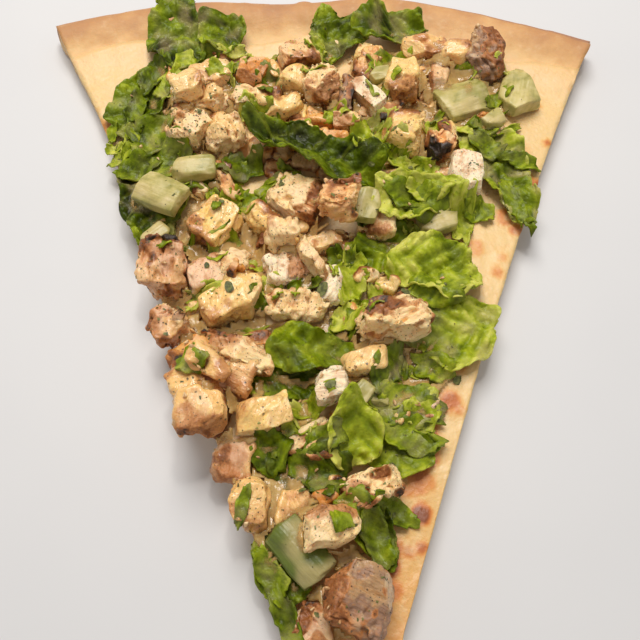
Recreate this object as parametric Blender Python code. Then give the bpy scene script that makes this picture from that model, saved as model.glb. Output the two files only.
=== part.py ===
"""A slice of chicken caesar pizza, lying flat, with its topping up.

One wedge of thin baked dough with a raised rim carries a sheet of melted cheese. Diced grilled
chicken, torn romaine leaves and pale leaf ribs are piled on the cheese, one on another.

Metres, +Z up. The point runs towards -Y and the rim is at +Y. The origin lies on the flat
underside, on the centre line, halfway along the slice.
"""

import math

import bmesh
import bpy
import numpy as np
from mathutils import Euler, Matrix, Vector, noise
from mathutils.bvhtree import BVHTree

MM = 0.001

# The pizza: 20 inches across, cut in eight.
SLICE_ANGLE = math.radians(44)
POINT_RADIUS = 3 * MM  # the point is blunt
POINT_TO_ORIGIN = 127 * MM

# The rim isn't part of a true circle: it reaches further at the left corner, it falls back on
# the right, and it is dented a little to the left of the middle. Places on it are in half
# widths of the slice.
RIM_REACH = 252.6 * MM
RIM_SLANT = 5 * MM
RIM_FALL = 5 * MM
RIM_FALL_FROM = 0.25
RIM_FALL_TO = 0.8
RIM_DENT = 5 * MM
RIM_DENT_AT = -0.12
RIM_DENT_SPREAD = 0.27

# The left cut bows in a little below the rim, and the right cut flares out towards it.
LEFT_BOW = 3.3 * MM
BOW_AT = 205 * MM
BOW_SPREAD = 32 * MM
RIGHT_FLARE = 6.8 * MM
FLARE_FROM = 100 * MM
FLARE_TO = 240 * MM

# Section through the dough at the rim: distance in from the outer edge, top, underside (mm).
RIM_SECTION = (
    (0.0, 5.4, 3.4),
    (0.8, 7.4, 1.7),
    (2.6, 9.0, 0.6),
    (6.0, 9.8, 0.0),
    (10.0, 9.0, 0.0),
    (15.0, 6.9, 0.0),
    (20.0, 5.2, 0.0),
    (27.0, 4.4, 0.0),
)
DOUGH_COLUMNS = 20
DOUGH_ROWS = 20
DOUGH_RIPPLE = 0.35 * MM
DOUGH_RIPPLE_LENGTH = 26 * MM
RIM_SWELL = 1.0 * MM  # how unevenly the rim has risen

CHEESE_THICKNESS = 1.9 * MM
CHEESE_EDGE_THICKNESS = 0.8 * MM
CHEESE_FROM_RIM = 19 * MM  # bare dough between the cheese and the outer edge
CHEESE_EDGE_WAVE = 3 * MM
CHEESE_EDGE_WAVES = 7
CHEESE_FADE = 22 * MM  # over which the sheet thins towards its edge
CHEESE_COLUMNS = 14
CHEESE_ROWS = 19
CHEESE_RIPPLE = 0.55 * MM
CHEESE_RIPPLE_LENGTH = 11 * MM

LEAF_THICKNESS = 0.9 * MM
LEAF_CELL = (3.6 * MM, 3.1 * MM)  # along and across a leaf
LEAF_STEEPEST = 0.75  # the most that a leaf falls away from what props it up
GAP = 0.3 * MM  # air left between pieces that touch

# The grid of cells that records how high the pile stands.
CELL = 0.5 * MM
GRID_LOW = (-0.125, -0.160)
GRID_CELLS = (500, 640)  # along X and along Y
TILTS = (-14, -7, 0, 7, 14)  # degrees a chunk may lean to settle
SHIFTS = (-10, -8, -6, -4, -2, 0, 2, 4, 6, 8, 10)  # cells a chunk may slide to settle
LEAN_COST = 0.05 * MM  # height a chunk gives up for each degree of lean
SLIDE_COST = 0.6 * MM  # and for each cell of slide


# ---------------------------------------------------------------- scene, materials, objects


def clear_scene():
    for thing in list(bpy.data.objects):
        bpy.data.objects.remove(thing)


def make_material(name, colour, roughness):
    made = bpy.data.materials.new(name)
    made.use_nodes = True
    shader = made.node_tree.nodes["Principled BSDF"]
    shader.inputs["Base Color"].default_value = (*colour, 1)
    shader.inputs["Roughness"].default_value = roughness
    shader.inputs["Metallic"].default_value = 0
    return made


def make_object(name, bm, made_of, smooth_below=50):
    """Turns the bmesh into an object of the slice, with its faces pointing out."""
    bmesh.ops.recalc_face_normals(bm, faces=bm.faces)
    mesh = bpy.data.meshes.new(name)
    bm.to_mesh(mesh)
    bm.free()
    mesh.materials.append(made_of)
    mesh.shade_smooth()
    mesh.set_sharp_from_angle(angle=math.radians(smooth_below))
    thing = bpy.data.objects.new(name, mesh)
    bpy.data.collections["pizza_slice"].objects.link(thing)
    return thing


def sheet(columns, rows, upper_point, under_point):
    """A closed sheet. Its grid is split into triangles before it is doubled, so that both
    faces have the same ones. The two functions place a point given across and along, -1 to 1.
    """
    bm = bmesh.new()
    bmesh.ops.create_grid(bm, x_segments=columns, y_segments=rows, size=1)
    bmesh.ops.triangulate(bm, faces=bm.faces)
    upper = set(bm.verts)
    bmesh.ops.extrude_face_region(bm, geom=bm.faces[:], use_keep_orig=True)
    for point in bm.verts:
        place = upper_point if point in upper else under_point
        point.co = place(point.co.x, point.co.y)
    return bm


def ripple(x, y, length, seed=0.0):
    """Smooth unevenness from -1 to 1, with bumps about this length apart."""
    return noise.noise(Vector((x / length, y / length, seed)))


# ---------------------------------------------------------------- dough and cheese


def outer_radius(across):
    """Distance from the point to the outer edge of the rim."""
    dent = RIM_DENT * math.exp(-(((across - RIM_DENT_AT) / RIM_DENT_SPREAD) ** 2))
    share = min(1.0, max(0.0, (across - RIM_FALL_FROM) / (RIM_FALL_TO - RIM_FALL_FROM)))
    fall = RIM_FALL * share * share * (3 - 2 * share)
    return RIM_REACH - RIM_SLANT * across - dent - fall


def on_slice(across, radius):
    """X and Y of a point of the wedge. The two cuts are at across -1 and 1."""
    angle = across * SLICE_ANGLE / 2
    bow = LEFT_BOW * math.exp(-(((radius - BOW_AT) / BOW_SPREAD) ** 2))
    flare = RIGHT_FLARE * max(0.0, (radius - FLARE_FROM) / (FLARE_TO - FLARE_FROM)) ** 2
    x = radius * math.sin(angle) + max(0.0, -across) * bow + max(0.0, across) * flare
    return x, radius * math.cos(angle) - POINT_TO_ORIGIN


def dough_station(along):
    """For a row of the dough, from the point (-1) to the outer edge (1): the share of the flat
    part that lies behind it, then its distance in from the edge, top and underside."""
    row = round((along + 1) / 2 * DOUGH_ROWS)
    flat_rows = DOUGH_ROWS - len(RIM_SECTION) + 1
    inward = DOUGH_ROWS - row
    if inward < len(RIM_SECTION):
        return 1.0, *(size * MM for size in RIM_SECTION[inward])
    inner, top, under = (size * MM for size in RIM_SECTION[-1])
    return row / flat_rows, inner, top, under


def dough_point(across, along, upper):
    share, inward, top, under = dough_station(along)
    whole = outer_radius(across) - inward
    radius = POINT_RADIUS + (whole - POINT_RADIUS) * share
    x, y = on_slice(across, radius)
    if not upper:
        return x, y, under
    swell = RIM_SWELL * ripple(x, y, 30 * MM, 5.0) * (top - RIM_SECTION[-1][1] * MM) / (5 * MM)
    return x, y, top + swell + DOUGH_RIPPLE * ripple(x, y, DOUGH_RIPPLE_LENGTH)


def add_dough(made_of):
    bm = sheet(
        DOUGH_COLUMNS,
        DOUGH_ROWS,
        lambda across, along: dough_point(across, along, True),
        lambda across, along: dough_point(across, along, False),
    )
    return make_object("dough", bm, made_of, smooth_below=40)


def add_cheese(made_of, dough):
    """The cheese lies on the dough from cut to cut, so it shows at both sides."""
    top_of_dough = tree_of(dough)

    def place(across, along, upper):
        edge_wave = CHEESE_EDGE_WAVE * math.sin(CHEESE_EDGE_WAVES * across + 1)
        whole = outer_radius(across) - CHEESE_FROM_RIM + edge_wave
        radius = POINT_RADIUS + (whole - POINT_RADIUS) * (along + 1) / 2
        x, y = on_slice(across, radius)
        sample = on_slice(0.97 * across, radius + 0.5 * MM)  # just inside the cuts
        found = top_of_dough.ray_cast(Vector((*sample, 0.1)), Vector((0, 0, -1)))[0]
        fade = min(1.0, (whole - radius) / CHEESE_FADE)
        thick = CHEESE_EDGE_THICKNESS + (CHEESE_THICKNESS - CHEESE_EDGE_THICKNESS) * fade
        bumps = CHEESE_RIPPLE * ripple(x, y, CHEESE_RIPPLE_LENGTH, 2.0) * fade
        return x, y, found.z + GAP + (thick + bumps if upper else 0)

    bm = sheet(
        CHEESE_COLUMNS,
        CHEESE_ROWS,
        lambda across, along: place(across, along, True),
        lambda across, along: place(across, along, False),
    )
    return make_object("cheese", bm, made_of, smooth_below=40)


# ---------------------------------------------------------------- the pile


def triangles_of(thing):
    """Corners of the object's triangles in the world, as an array of n by 3 by 3."""
    mesh = thing.data
    mesh.calc_loop_triangles()
    corners = [[thing.matrix_world @ mesh.vertices[i].co for i in t.vertices] for t in mesh.loop_triangles]
    return np.array(corners)


def tree_of(thing):
    mesh = thing.data
    points = [thing.matrix_world @ point.co for point in mesh.vertices]
    return BVHTree.FromPolygons(points, [face.vertices[:] for face in mesh.polygons])


def seen_from_above(triangles, low, shape, pick):
    """Heights of the triangles over the cells of a window whose corner is at low. Where
    several cover a cell, pick (np.fmax or np.fmin) says which height stays."""
    heights = np.full(shape, np.nan)
    for a, b, c in triangles:
        first = np.floor((np.minimum(np.minimum(a, b), c)[:2] - low) / CELL).astype(int)
        last = np.floor((np.maximum(np.maximum(a, b), c)[:2] - low) / CELL).astype(int)
        first = np.clip(first, 0, np.array(shape) - 1)
        last = np.clip(last, 0, np.array(shape) - 1)
        span = (b[0] - a[0]) * (c[1] - a[1]) - (b[1] - a[1]) * (c[0] - a[0])
        if abs(span) < 1e-12:
            continue
        xs = low[0] + (np.arange(first[0], last[0] + 1)[:, None] + 0.5) * CELL - a[0]
        ys = low[1] + (np.arange(first[1], last[1] + 1)[None, :] + 0.5) * CELL - a[1]
        along_b = (xs * (c[1] - a[1]) - ys * (c[0] - a[0])) / span
        along_c = (ys * (b[0] - a[0]) - xs * (b[1] - a[1])) / span
        inside = (along_b >= -0.01) & (along_c >= -0.01) & (along_b + along_c <= 1.01)
        found = np.where(inside, a[2] + along_b * (b[2] - a[2]) + along_c * (c[2] - a[2]), np.nan)
        window = heights[first[0] : last[0] + 1, first[1] : last[1] + 1]
        window[...] = pick(window, found)
    return heights


def spread(heights, fall, steps):
    """Lets every cell prop up its neighbours, less a fall for each cell of distance."""
    for _ in range(steps):
        edged = np.pad(heights, 1, mode="edge")
        around = [
            edged[1 + i : edged.shape[0] - 1 + i, 1 + j : edged.shape[1] - 1 + j] - fall * math.hypot(i, j)
            for i in (-1, 0, 1)
            for j in (-1, 0, 1)
        ]
        heights = np.maximum.reduce(around)
    return heights


class Pile:
    """Everything laid so far, as the height of its top over each cell."""

    def __init__(self):
        self.low = np.array(GRID_LOW)
        self.heights = np.zeros(GRID_CELLS)
        self.trees = []

    def add(self, thing):
        tops = seen_from_above(triangles_of(thing), self.low, GRID_CELLS, np.fmax)
        self.heights = np.fmax(self.heights, tops)
        self.trees.append(tree_of(thing))

    def cell_at(self, x, y):
        return np.floor((np.array((x, y)) - self.low) / CELL).astype(int)

    def around(self, cell, reach):
        """The heights up to reach cells from this one."""
        i, j = cell
        return self.heights[i - reach : i + reach + 1, j - reach : j + reach + 1]

    def raise_clear(self, thing):
        """Lifts the object until its surface crosses none in the pile."""
        while True:
            bpy.context.view_layer.update()
            tree = tree_of(thing)
            if not any(tree.overlap(other) for other in self.trees):
                return
            thing.location.z += GAP / 2


# ---------------------------------------------------------------- chunks: chicken and ribs


def push(place):
    """A direction and strength that change smoothly from place to place."""
    offsets = Vector((9.3, 1.5, 7.9)), Vector((0, 0, 0)), Vector((-3.1, 5.7, 2.3))
    return Vector([noise.noise(place + offset) for offset in offsets])


def chunk_bmesh(length, width, height, rounding, roughness, seed, cuts=2):
    """A knife-cut cube with softened corners and uneven faces."""
    bm = bmesh.new()
    bmesh.ops.create_cube(bm, size=1)
    bmesh.ops.subdivide_edges(bm, edges=bm.edges, cuts=cuts, use_grid_fill=True)
    shift = Vector((seed * 7.31, seed * 3.17, seed * 5.71))
    taper = 0.16 * noise.noise(shift + Vector((9, 0, 0)))
    skew = 0.30 * noise.noise(shift + Vector((0, 9, 0)))
    for point in bm.verts:
        ball = point.co.normalized() * 0.62
        soft = point.co.lerp(ball, rounding)
        soft += roughness * push(soft * 2.3 + shift)
        grow = 1 + taper * 2 * soft.x
        point.co = (soft.x + skew * soft.y, soft.y * grow, soft.z)
    fit_box(bm, (length, width, height))
    return bm


def fit_box(bm, size):
    """Scales and centres the bmesh so that it just fills a box of this size."""
    low = [min(point.co[i] for point in bm.verts) for i in range(3)]
    high = [max(point.co[i] for point in bm.verts) for i in range(3)]
    for point in bm.verts:
        point.co = [(point.co[i] - (low[i] + high[i]) / 2) * size[i] / (high[i] - low[i]) for i in range(3)]


def bend_across(bm, arch):
    """Raises the long middle, as in the hollow rib of a leaf."""
    reach = max(abs(point.co.y) for point in bm.verts)
    for point in bm.verts:
        point.co.z += arch * (1 - (point.co.y / reach) ** 2)


def settle(pile, thing, at, turn):
    """Drops the object on the pile at this place, and lets it lean or slide to lie lower."""
    reach = int(0.7 * max(thing.dimensions) / CELL) + 4
    middle = pile.cell_at(*at)
    props = spread(pile.around(middle, reach + max(SHIFTS)), 0, 1)
    centre = pile.low + (middle + 0.5) * CELL
    corner = centre - (reach + 0.5) * CELL
    window = (2 * reach + 1, 2 * reach + 1)
    best = None
    for lean_x in TILTS:
        for lean_y in TILTS:
            pose = Matrix.Translation((*centre, 0)) @ pose_matrix(turn, lean_x, lean_y)
            turned = triangles_of(thing) @ np.array(pose.to_3x3()).T + np.array(pose.translation)
            under = seen_from_above(turned, corner, window, np.fmin)
            for i in SHIFTS:
                for j in SHIFTS:
                    first_i, first_j = i - min(SHIFTS), j - min(SHIFTS)
                    below = props[first_i : first_i + window[0], first_j : first_j + window[1]]
                    lift = np.nanmax(below - under)
                    effort = LEAN_COST * math.hypot(lean_x, lean_y) + SLIDE_COST * math.hypot(i, j)
                    if best is None or lift + effort < best[0]:
                        best = lift + effort, lift, lean_x, lean_y, i, j
    _, lift, lean_x, lean_y, i, j = best
    place = Vector((centre[0] + i * CELL, centre[1] + j * CELL, lift + GAP))
    thing.matrix_world = Matrix.Translation(place) @ pose_matrix(turn, lean_x, lean_y)
    pile.raise_clear(thing)
    pile.add(thing)


def pose_matrix(turn, lean_x, lean_y):
    leaning = Euler((math.radians(lean_x), math.radians(lean_y), 0)).to_matrix().to_4x4()
    return leaning @ Matrix.Rotation(math.radians(turn), 4, "Z")


def lay_chunk(pile, name, at, turn, size, made_of, rounding=0.35, roughness=0.13, arch=0.0):
    """Places are measured in mm from the slice's point: across, then towards the rim."""
    length, width, height = (side * MM for side in size)
    seed = float(at[0] * 0.37 + at[1] * 0.11)
    bm = chunk_bmesh(length, width, height, rounding, roughness, seed)
    bend_across(bm, arch * MM)
    thing = make_object(name, bm, made_of)
    settle(pile, thing, (at[0] * MM, at[1] * MM - POINT_TO_ORIGIN), turn)


# ---------------------------------------------------------------- leaves


def leaf_outline(across, along, taper, seed):
    """Turns the square -1 to 1 into a torn leaf with a lobed edge, in half sizes."""
    x = along * math.sqrt(1 - across * across / 2)
    y = across * math.sqrt(1 - along * along / 2)
    angle = math.atan2(y, x)
    lobes = 0.11 * math.sin(3 * angle + seed) + 0.07 * math.sin(5 * angle + 2 * seed)
    lobes += 0.05 * math.sin(9 * angle + 3 * seed)
    out = 0.96 + lobes * (x * x + y * y)
    return x * out, y * out * (1 - taper * x)


def leaf_lift(x, y, curl, waves, fold, seed):
    """How far a leaf stands above what it lies on: ruffled rim, folded midrib, small dimples."""
    rim = min(1.0, math.hypot(x, y))
    ruffle = curl * rim * rim * (0.5 + 0.5 * math.sin(waves * math.atan2(y, x) + seed))
    dimples = 0.25 * curl * (0.5 + 0.5 * noise.noise(Vector((2.1 * x, 2.1 * y, seed))))
    return ruffle + fold * abs(y) + dimples


def lay_leaf(pile, name, at, turn, size, made_of, curl=3.5, waves=5, fold=1.2, taper=0.15, lift=0.0):
    """A torn piece of leaf that drapes over what lies under it. lift raises its -X end (mm)."""
    length, width = (side * MM for side in size)
    seed = at[0] * 0.53 + at[1] * 0.29
    centre = Vector((at[0] * MM, at[1] * MM - POINT_TO_ORIGIN))
    around = Matrix.Rotation(math.radians(turn), 2)
    reach = int(0.75 * math.hypot(length, width) / CELL) + 20
    middle = pile.cell_at(*centre)
    low = pile.low + (middle - reach) * CELL
    props = spread(pile.around(middle, reach), 0, 2)
    drape = spread(props, LEAF_STEEPEST * CELL, 24)

    bm = bmesh.new()
    bmesh.ops.create_grid(
        bm,
        x_segments=max(4, round(width / LEAF_CELL[1])),
        y_segments=max(5, round(length / LEAF_CELL[0])),
        size=1,
    )
    bmesh.ops.triangulate(bm, faces=bm.faces)
    for point in bm.verts:
        x, y = leaf_outline(point.co.x, point.co.y, taper, seed)
        flat = centre + around @ Vector((x * length / 2, y * width / 2))
        i, j = np.clip(np.floor((np.array(flat) - low) / CELL).astype(int), 0, 2 * reach)
        raised = leaf_lift(x, y, curl * MM, waves, fold * MM, seed)
        raised += lift * MM * (0.5 - 0.5 * x) ** 2
        point.co = (*flat, drape[i, j] + GAP + raised)
    lift_over(bm, props, low)
    upper = set(bm.verts)
    bmesh.ops.extrude_face_region(bm, geom=bm.faces[:], use_keep_orig=True)
    for point in bm.verts:
        if point not in upper:
            point.co.z += LEAF_THICKNESS
    thing = make_object(name, bm, made_of)
    pile.raise_clear(thing)
    pile.add(thing)


def lift_over(bm, props, low):
    """Raises the corners of each triangle that the pile would poke through."""
    for _ in range(12):
        pushed = {}
        for face in bm.faces:
            corners = [point.co for point in face.verts]
            over = seen_from_above([np.array(corners)], low, props.shape, np.fmax)
            short = np.nanmax(props - over, initial=-1.0, where=~np.isnan(over))
            if short > -GAP / 2:
                for point in face.verts:
                    pushed[point] = max(pushed.get(point, 0.0), short + GAP)
        if not pushed:
            return
        for point, rise in pushed.items():
            point.co.z += rise


# ---------------------------------------------------------------- the slice


def build():
    clear_scene()
    bpy.context.scene.collection.children.link(bpy.data.collections.new("pizza_slice"))
    dough_finish = make_material("baked_dough", (0.80, 0.56, 0.33), 0.65)
    cheese_finish = make_material("melted_cheese", (0.90, 0.76, 0.48), 0.45)
    meat = make_material("grilled_chicken", (0.80, 0.66, 0.46), 0.5)
    green = make_material("romaine_leaf", (0.20, 0.36, 0.07), 0.4)
    pale = make_material("romaine_rib", (0.62, 0.66, 0.36), 0.35)

    pile = Pile()
    dough = add_dough(dough_finish)
    pile.add(dough)
    cheese = add_cheese(cheese_finish, dough)
    pile.add(cheese)

    chicken_count = leaf_count = rib_count = 0

    def chicken(at, turn, size, **shape):
        nonlocal chicken_count
        chicken_count += 1
        lay_chunk(pile, f"chicken_{chicken_count:02d}", at, turn, size, meat, **shape)

    def leaf(at, turn, size, **shape):
        nonlocal leaf_count
        leaf_count += 1
        lay_leaf(pile, f"romaine_leaf_{leaf_count:02d}", at, turn, size, green, **shape)

    def rib(at, turn, size, **shape):
        nonlocal rib_count
        rib_count += 1
        lay_chunk(pile, f"romaine_rib_{rib_count:02d}", at, turn, size, pale, roughness=0.05, **shape)

    # Leaves that lie on the cheese, from the rim down to the point.
    leaf((-60, 203), 66, (44, 17), curl=3, waves=4, taper=0.2)
    leaf((-51, 232), 95, (46, 20), curl=4, waves=5)
    leaf((-35, 229), 60, (20, 17), curl=4, waves=3)
    leaf((6, 228), 100, (22, 22), curl=4, waves=4)
    leaf((26, 229), 5, (29, 16), curl=5, waves=5)
    leaf((-55, 162), 100, (40, 23), curl=3.5, waves=6)
    leaf((56, 166), -70, (45, 18), curl=4.5, waves=6)
    leaf((17, 138), 30, (22, 18), curl=4, waves=4)
    leaf((34, 110), 10, (29, 23), curl=3, waves=7, fold=2)
    leaf((31, 130), -15, (30, 22), curl=3, waves=5, fold=2)
    leaf((-14, 97), -10, (27, 15), curl=3, waves=4)
    leaf((-7, 105), -5, (27, 15), curl=3.5, waves=4)
    leaf((16, 76), -8, (22, 15), curl=2.5, waves=3, taper=0.5)
    leaf((-10, 71), -60, (21, 15), curl=3, waves=3)
    leaf((-16, 47), -60, (20, 12), curl=3, waves=4)
    leaf((8, 55), -68, (18, 10), curl=3, waves=4)

    # Ribs.
    rib((-51, 157), -30, (17, 12, 4.5), arch=2)
    rib((48, 195), 20, (19, 15, 5), arch=2)
    rib((64, 199), 75, (22, 15, 4.5), arch=2.5)
    rib((8, 98), 80, (18, 9, 4), arch=1.5)
    rib((-11, 51), -50, (17, 11, 3.5), arch=2)

    # Chicken under the rim.
    chicken((-39, 209), 10, (14, 9, 8))
    chicken((-24, 210), 70, (14, 12, 8))
    chicken((-11, 213), 20, (15, 11, 11))
    chicken((16, 212), 62, (17, 7, 7))
    chicken((36, 215), 5, (18, 10, 9))
    chicken((59, 211), 80, (19, 14, 12))

    # The middle of the wide end.
    chicken((-40, 196), 0, (19, 9, 10))
    chicken((-45, 182), 85, (13, 13, 11))
    chicken((-32, 182), 80, (14, 12, 10))
    chicken((0, 201), 80, (14, 13, 11))
    chicken((27, 202), 85, (17, 11, 12))
    chicken((16, 195), -50, (18, 9, 9))
    chicken((25, 180), 70, (16, 13, 12))
    chicken((32, 175), 20, (10, 9, 10))
    chicken((43, 163), 75, (16, 12, 8))

    chicken((-9, 154), -35, (24, 17, 12))

    # Large leaves across the middle, over that chicken.
    leaf((-1, 170), -25, (48, 21), curl=5, waves=5, fold=2, lift=4)
    leaf((26, 153), 5, (30, 16), curl=4.5, waves=5)

    # The left side and the centre.
    chicken((-35, 147), 60, (15, 14, 10))
    chicken((-22, 147), -50, (22, 7, 8))
    chicken((3, 149), 90, (12, 12, 9))
    chicken((-49, 131), 80, (15, 14, 11))
    chicken((-29, 120), 25, (20, 12, 11))
    chicken((-15, 132), 20, (16, 10, 9))
    chicken((-12, 117), -5, (19, 9, 8))
    chicken((-46, 113), 60, (14, 13, 10))
    chicken((-31, 107), 0, (14, 9, 8))
    chicken((17, 111), 5, (23, 14, 11))
    chicken((-37, 91), -60, (21, 13, 10))
    chicken((-2, 92), 10, (10, 9, 9))
    chicken((-20, 85), 20, (16, 10, 8))

    # The narrow end.
    leaf((4, 80), 80, (19, 15), curl=3, waves=4)
    chicken((8, 66), 20, (16, 9, 8))
    chicken((-20, 62), 80, (14, 11, 9))
    chicken((-3, 56), 10, (14, 10, 9))
    chicken((-10, 36), 75, (13, 9, 7))
    chicken((0, 42), 55, (19, 16, 9))


build()
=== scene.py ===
# %% [markdown]
# # A slice of chicken caesar pizza
#
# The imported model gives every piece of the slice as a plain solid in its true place: one wedge
# of dough, a sheet of cheese, diced grilled chicken, romaine leaves and pale leaf ribs. This
# lesson puts the looks on them. Each solid is copied, refined and roughened into the real
# thing, and what is too small to be a solid is added: shreds, crumbs, herbs, pepper, dressing.

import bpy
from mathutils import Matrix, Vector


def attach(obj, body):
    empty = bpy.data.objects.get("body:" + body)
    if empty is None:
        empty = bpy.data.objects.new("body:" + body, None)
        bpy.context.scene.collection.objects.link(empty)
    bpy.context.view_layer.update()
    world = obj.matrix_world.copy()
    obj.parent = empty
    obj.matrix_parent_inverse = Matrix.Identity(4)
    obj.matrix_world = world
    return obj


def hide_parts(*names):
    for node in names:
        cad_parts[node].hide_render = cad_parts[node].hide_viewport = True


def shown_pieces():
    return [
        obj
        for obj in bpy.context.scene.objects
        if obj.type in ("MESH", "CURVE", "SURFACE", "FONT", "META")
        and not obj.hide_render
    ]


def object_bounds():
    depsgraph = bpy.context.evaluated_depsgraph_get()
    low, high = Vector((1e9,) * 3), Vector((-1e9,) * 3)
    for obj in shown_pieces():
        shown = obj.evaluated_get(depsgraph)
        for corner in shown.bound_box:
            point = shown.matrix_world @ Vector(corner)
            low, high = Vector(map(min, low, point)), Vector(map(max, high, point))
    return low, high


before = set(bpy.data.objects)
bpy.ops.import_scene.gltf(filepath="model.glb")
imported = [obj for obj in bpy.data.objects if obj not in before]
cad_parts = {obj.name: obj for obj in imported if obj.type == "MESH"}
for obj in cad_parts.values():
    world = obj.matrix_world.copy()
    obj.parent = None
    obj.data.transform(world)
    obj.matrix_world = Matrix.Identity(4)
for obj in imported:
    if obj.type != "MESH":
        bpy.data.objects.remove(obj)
cad_box = [list(corner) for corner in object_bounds()]
print("solids in the frame:", len(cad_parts))

# %% [markdown]
# ## Places and unevenness
#
# A cook reads a slice from its point, so places are given in millimetres from the point:
# across, then towards the rim. Food is uneven at every size, so one smooth noise, sampled
# at a chosen bump length, shapes everything here. It gives the same result on every run.

# %% Places and unevenness
import math
import random

import bmesh
import bpy
import numpy as np
from mathutils import Matrix, Vector, noise
from mathutils.bvhtree import BVHTree
from mathutils.kdtree import KDTree

MM = 0.001
POINT_TO_ORIGIN = 127 * MM


def on_slice(across, along, height=0.0):
    """A place on the slice, in the frame's metres."""
    return Vector((across * MM, along * MM - POINT_TO_ORIGIN, height * MM))


def heading(angle, up=0.0):
    """The level way at this angle from across, in radians, tipped up by this much."""
    return Vector((math.cos(angle), math.sin(angle), up))


def ripple(point, length, seed=0.0):
    """Smooth unevenness from -1 to 1, with bumps about this many mm apart, another by each seed."""
    scale = 1 / (length * MM)
    return noise.noise(Vector((point[0] * scale + seed, point[1] * scale - 0.7 * seed, point[2] * scale)))


def step_up(low, high, value):
    """0 below low, 1 above high, and a soft slope between."""
    share = min(1.0, max(0.0, (value - low) / (high - low)))
    return share * share * (3 - 2 * share)


print("the slice reaches", [round(size / MM) for size in cad_box[1]], "mm from its origin")

# %% [markdown]
# ## Copies of the solids
#
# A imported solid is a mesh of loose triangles. A copy is merged at its shared corners, and its
# triangles are joined in pairs into four-sided faces, because subdivision makes even, smooth
# cells from those. Edges that a knife cut are creased first, so that they stay crisp. What
# varies over a piece, such as how brown it is, is stored on the corners for its finish to read.

# %% Copies of the solids
SAME_CORNER = 0.001 * MM
PAIR_BEND, PAIR_SKEW = math.radians(50), 1.2  # two triangles make one face up to here


def merged_copy(node):
    """A solid's skin, closed, with four-sided faces where its triangles pair up."""
    bm = bmesh.new()
    bm.from_mesh(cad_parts[node].data)
    bmesh.ops.remove_doubles(bm, verts=bm.verts, dist=SAME_CORNER)
    bmesh.ops.join_triangles(
        bm, faces=bm.faces, angle_face_threshold=PAIR_BEND, angle_shape_threshold=PAIR_SKEW
    )
    return bm


def as_mesh(name, bm):
    mesh = bpy.data.meshes.new(name)
    bm.to_mesh(mesh)
    bm.free()
    return mesh


def in_scene(name, data):
    """A new object with this mesh, lamp or camera."""
    made = bpy.data.objects.new(name, data)
    bpy.context.scene.collection.objects.link(made)
    return made


def subdivided(bm, levels, crease_over=None):
    """The same skin with each face split into 4, this many times, and rounded."""
    if crease_over is not None:
        creases = bm.edges.layers.float.new("crease_edge")
        for edge in bm.edges:
            if edge.is_manifold and edge.calc_face_angle() > math.radians(crease_over):
                edge[creases] = 1.0
    mesh = as_mesh("coarse", bm)
    coarse = in_scene("coarse", mesh)
    finer = coarse.modifiers.new("finer", "SUBSURF")
    finer.levels = finer.render_levels = levels
    seen = coarse.evaluated_get(bpy.context.evaluated_depsgraph_get())
    bm = bmesh.new()
    bm.from_mesh(seen.to_mesh())
    seen.to_mesh_clear()
    bpy.data.objects.remove(coarse)
    bpy.data.meshes.remove(mesh)
    bm.normal_update()
    return bm


def new_marks(bm, *names):
    """Room on each corner for one number under each name, which a finish can read."""
    return [bm.verts.layers.float.new(name) for name in names]


def move_all(bm, moves):
    """Moves the corners together, once all the moves are worked out on the unmoved shape."""
    for point, move in zip(bm.verts, moves):
        point.co += move


def add_piece(name, bm, finish, slot, *nodes):
    """Makes the bmesh a piece of the slice that stands for these solids."""
    mesh = as_mesh(name, bm)
    mesh.materials.append(finish.material)
    mesh.shade_smooth()
    piece = in_scene(name, mesh)
    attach(piece, "root")
    if nodes:
        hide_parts(*nodes)
    return piece


def give_thickness(piece, thickness):
    """Makes a sheet a closed wall that reaches down from it."""
    wall = piece.modifiers.new("thickness", "SOLIDIFY")
    wall.thickness = thickness
    wall.offset = -1


print("one dough, one cheese and", len(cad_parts) - 2, "pieces of topping")

# %% [markdown]
# ## Writing a finish
#
# A finish is a tree of shader nodes. Written as sums it reads like the recipe it is, so a
# wire wraps one socket and its operators add Math nodes. Everything else goes through one
# method that takes a node's type, its settings, and what goes into its sockets.

# %% Writing a finish
class Wire:
    """One output of a finish's tree. Arithmetic on it adds Math nodes."""

    def __init__(self, finish, socket):
        self.finish = finish
        self.socket = socket

    def maths(self, operation, *inputs, clamp=False):
        settings = {"operation": operation, "use_clamp": clamp}
        return self.finish.node("ShaderNodeMath", settings, dict(enumerate(inputs)))

    def __add__(self, other):
        return self.maths("ADD", self, other)

    def __radd__(self, other):
        return self.maths("ADD", other, self)

    def __sub__(self, other):
        return self.maths("SUBTRACT", self, other)

    def __rsub__(self, other):
        return self.maths("SUBTRACT", other, self)

    def __mul__(self, other):
        return self.maths("MULTIPLY", self, other)

    def __rmul__(self, other):
        return self.maths("MULTIPLY", other, self)

    def clamped(self):
        return self.maths("ADD", self, 0.0, clamp=True)


def paint(*shown):
    """A colour as a screen shows it, 0 to 255, in the linear values that shaders use."""
    linear = [(c / 255 / 12.92) if c < 11 else ((c / 255 + 0.055) / 1.055) ** 2.4 for c in shown]
    return (*linear, 1.0)


def lit_through(share, colours, depth):
    """The shader's values for food that light enters: how much, how far each colour, and mm."""
    return {"Subsurface_Weight": share, "Subsurface_Radius": colours, "Subsurface_Scale": depth * MM}


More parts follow.
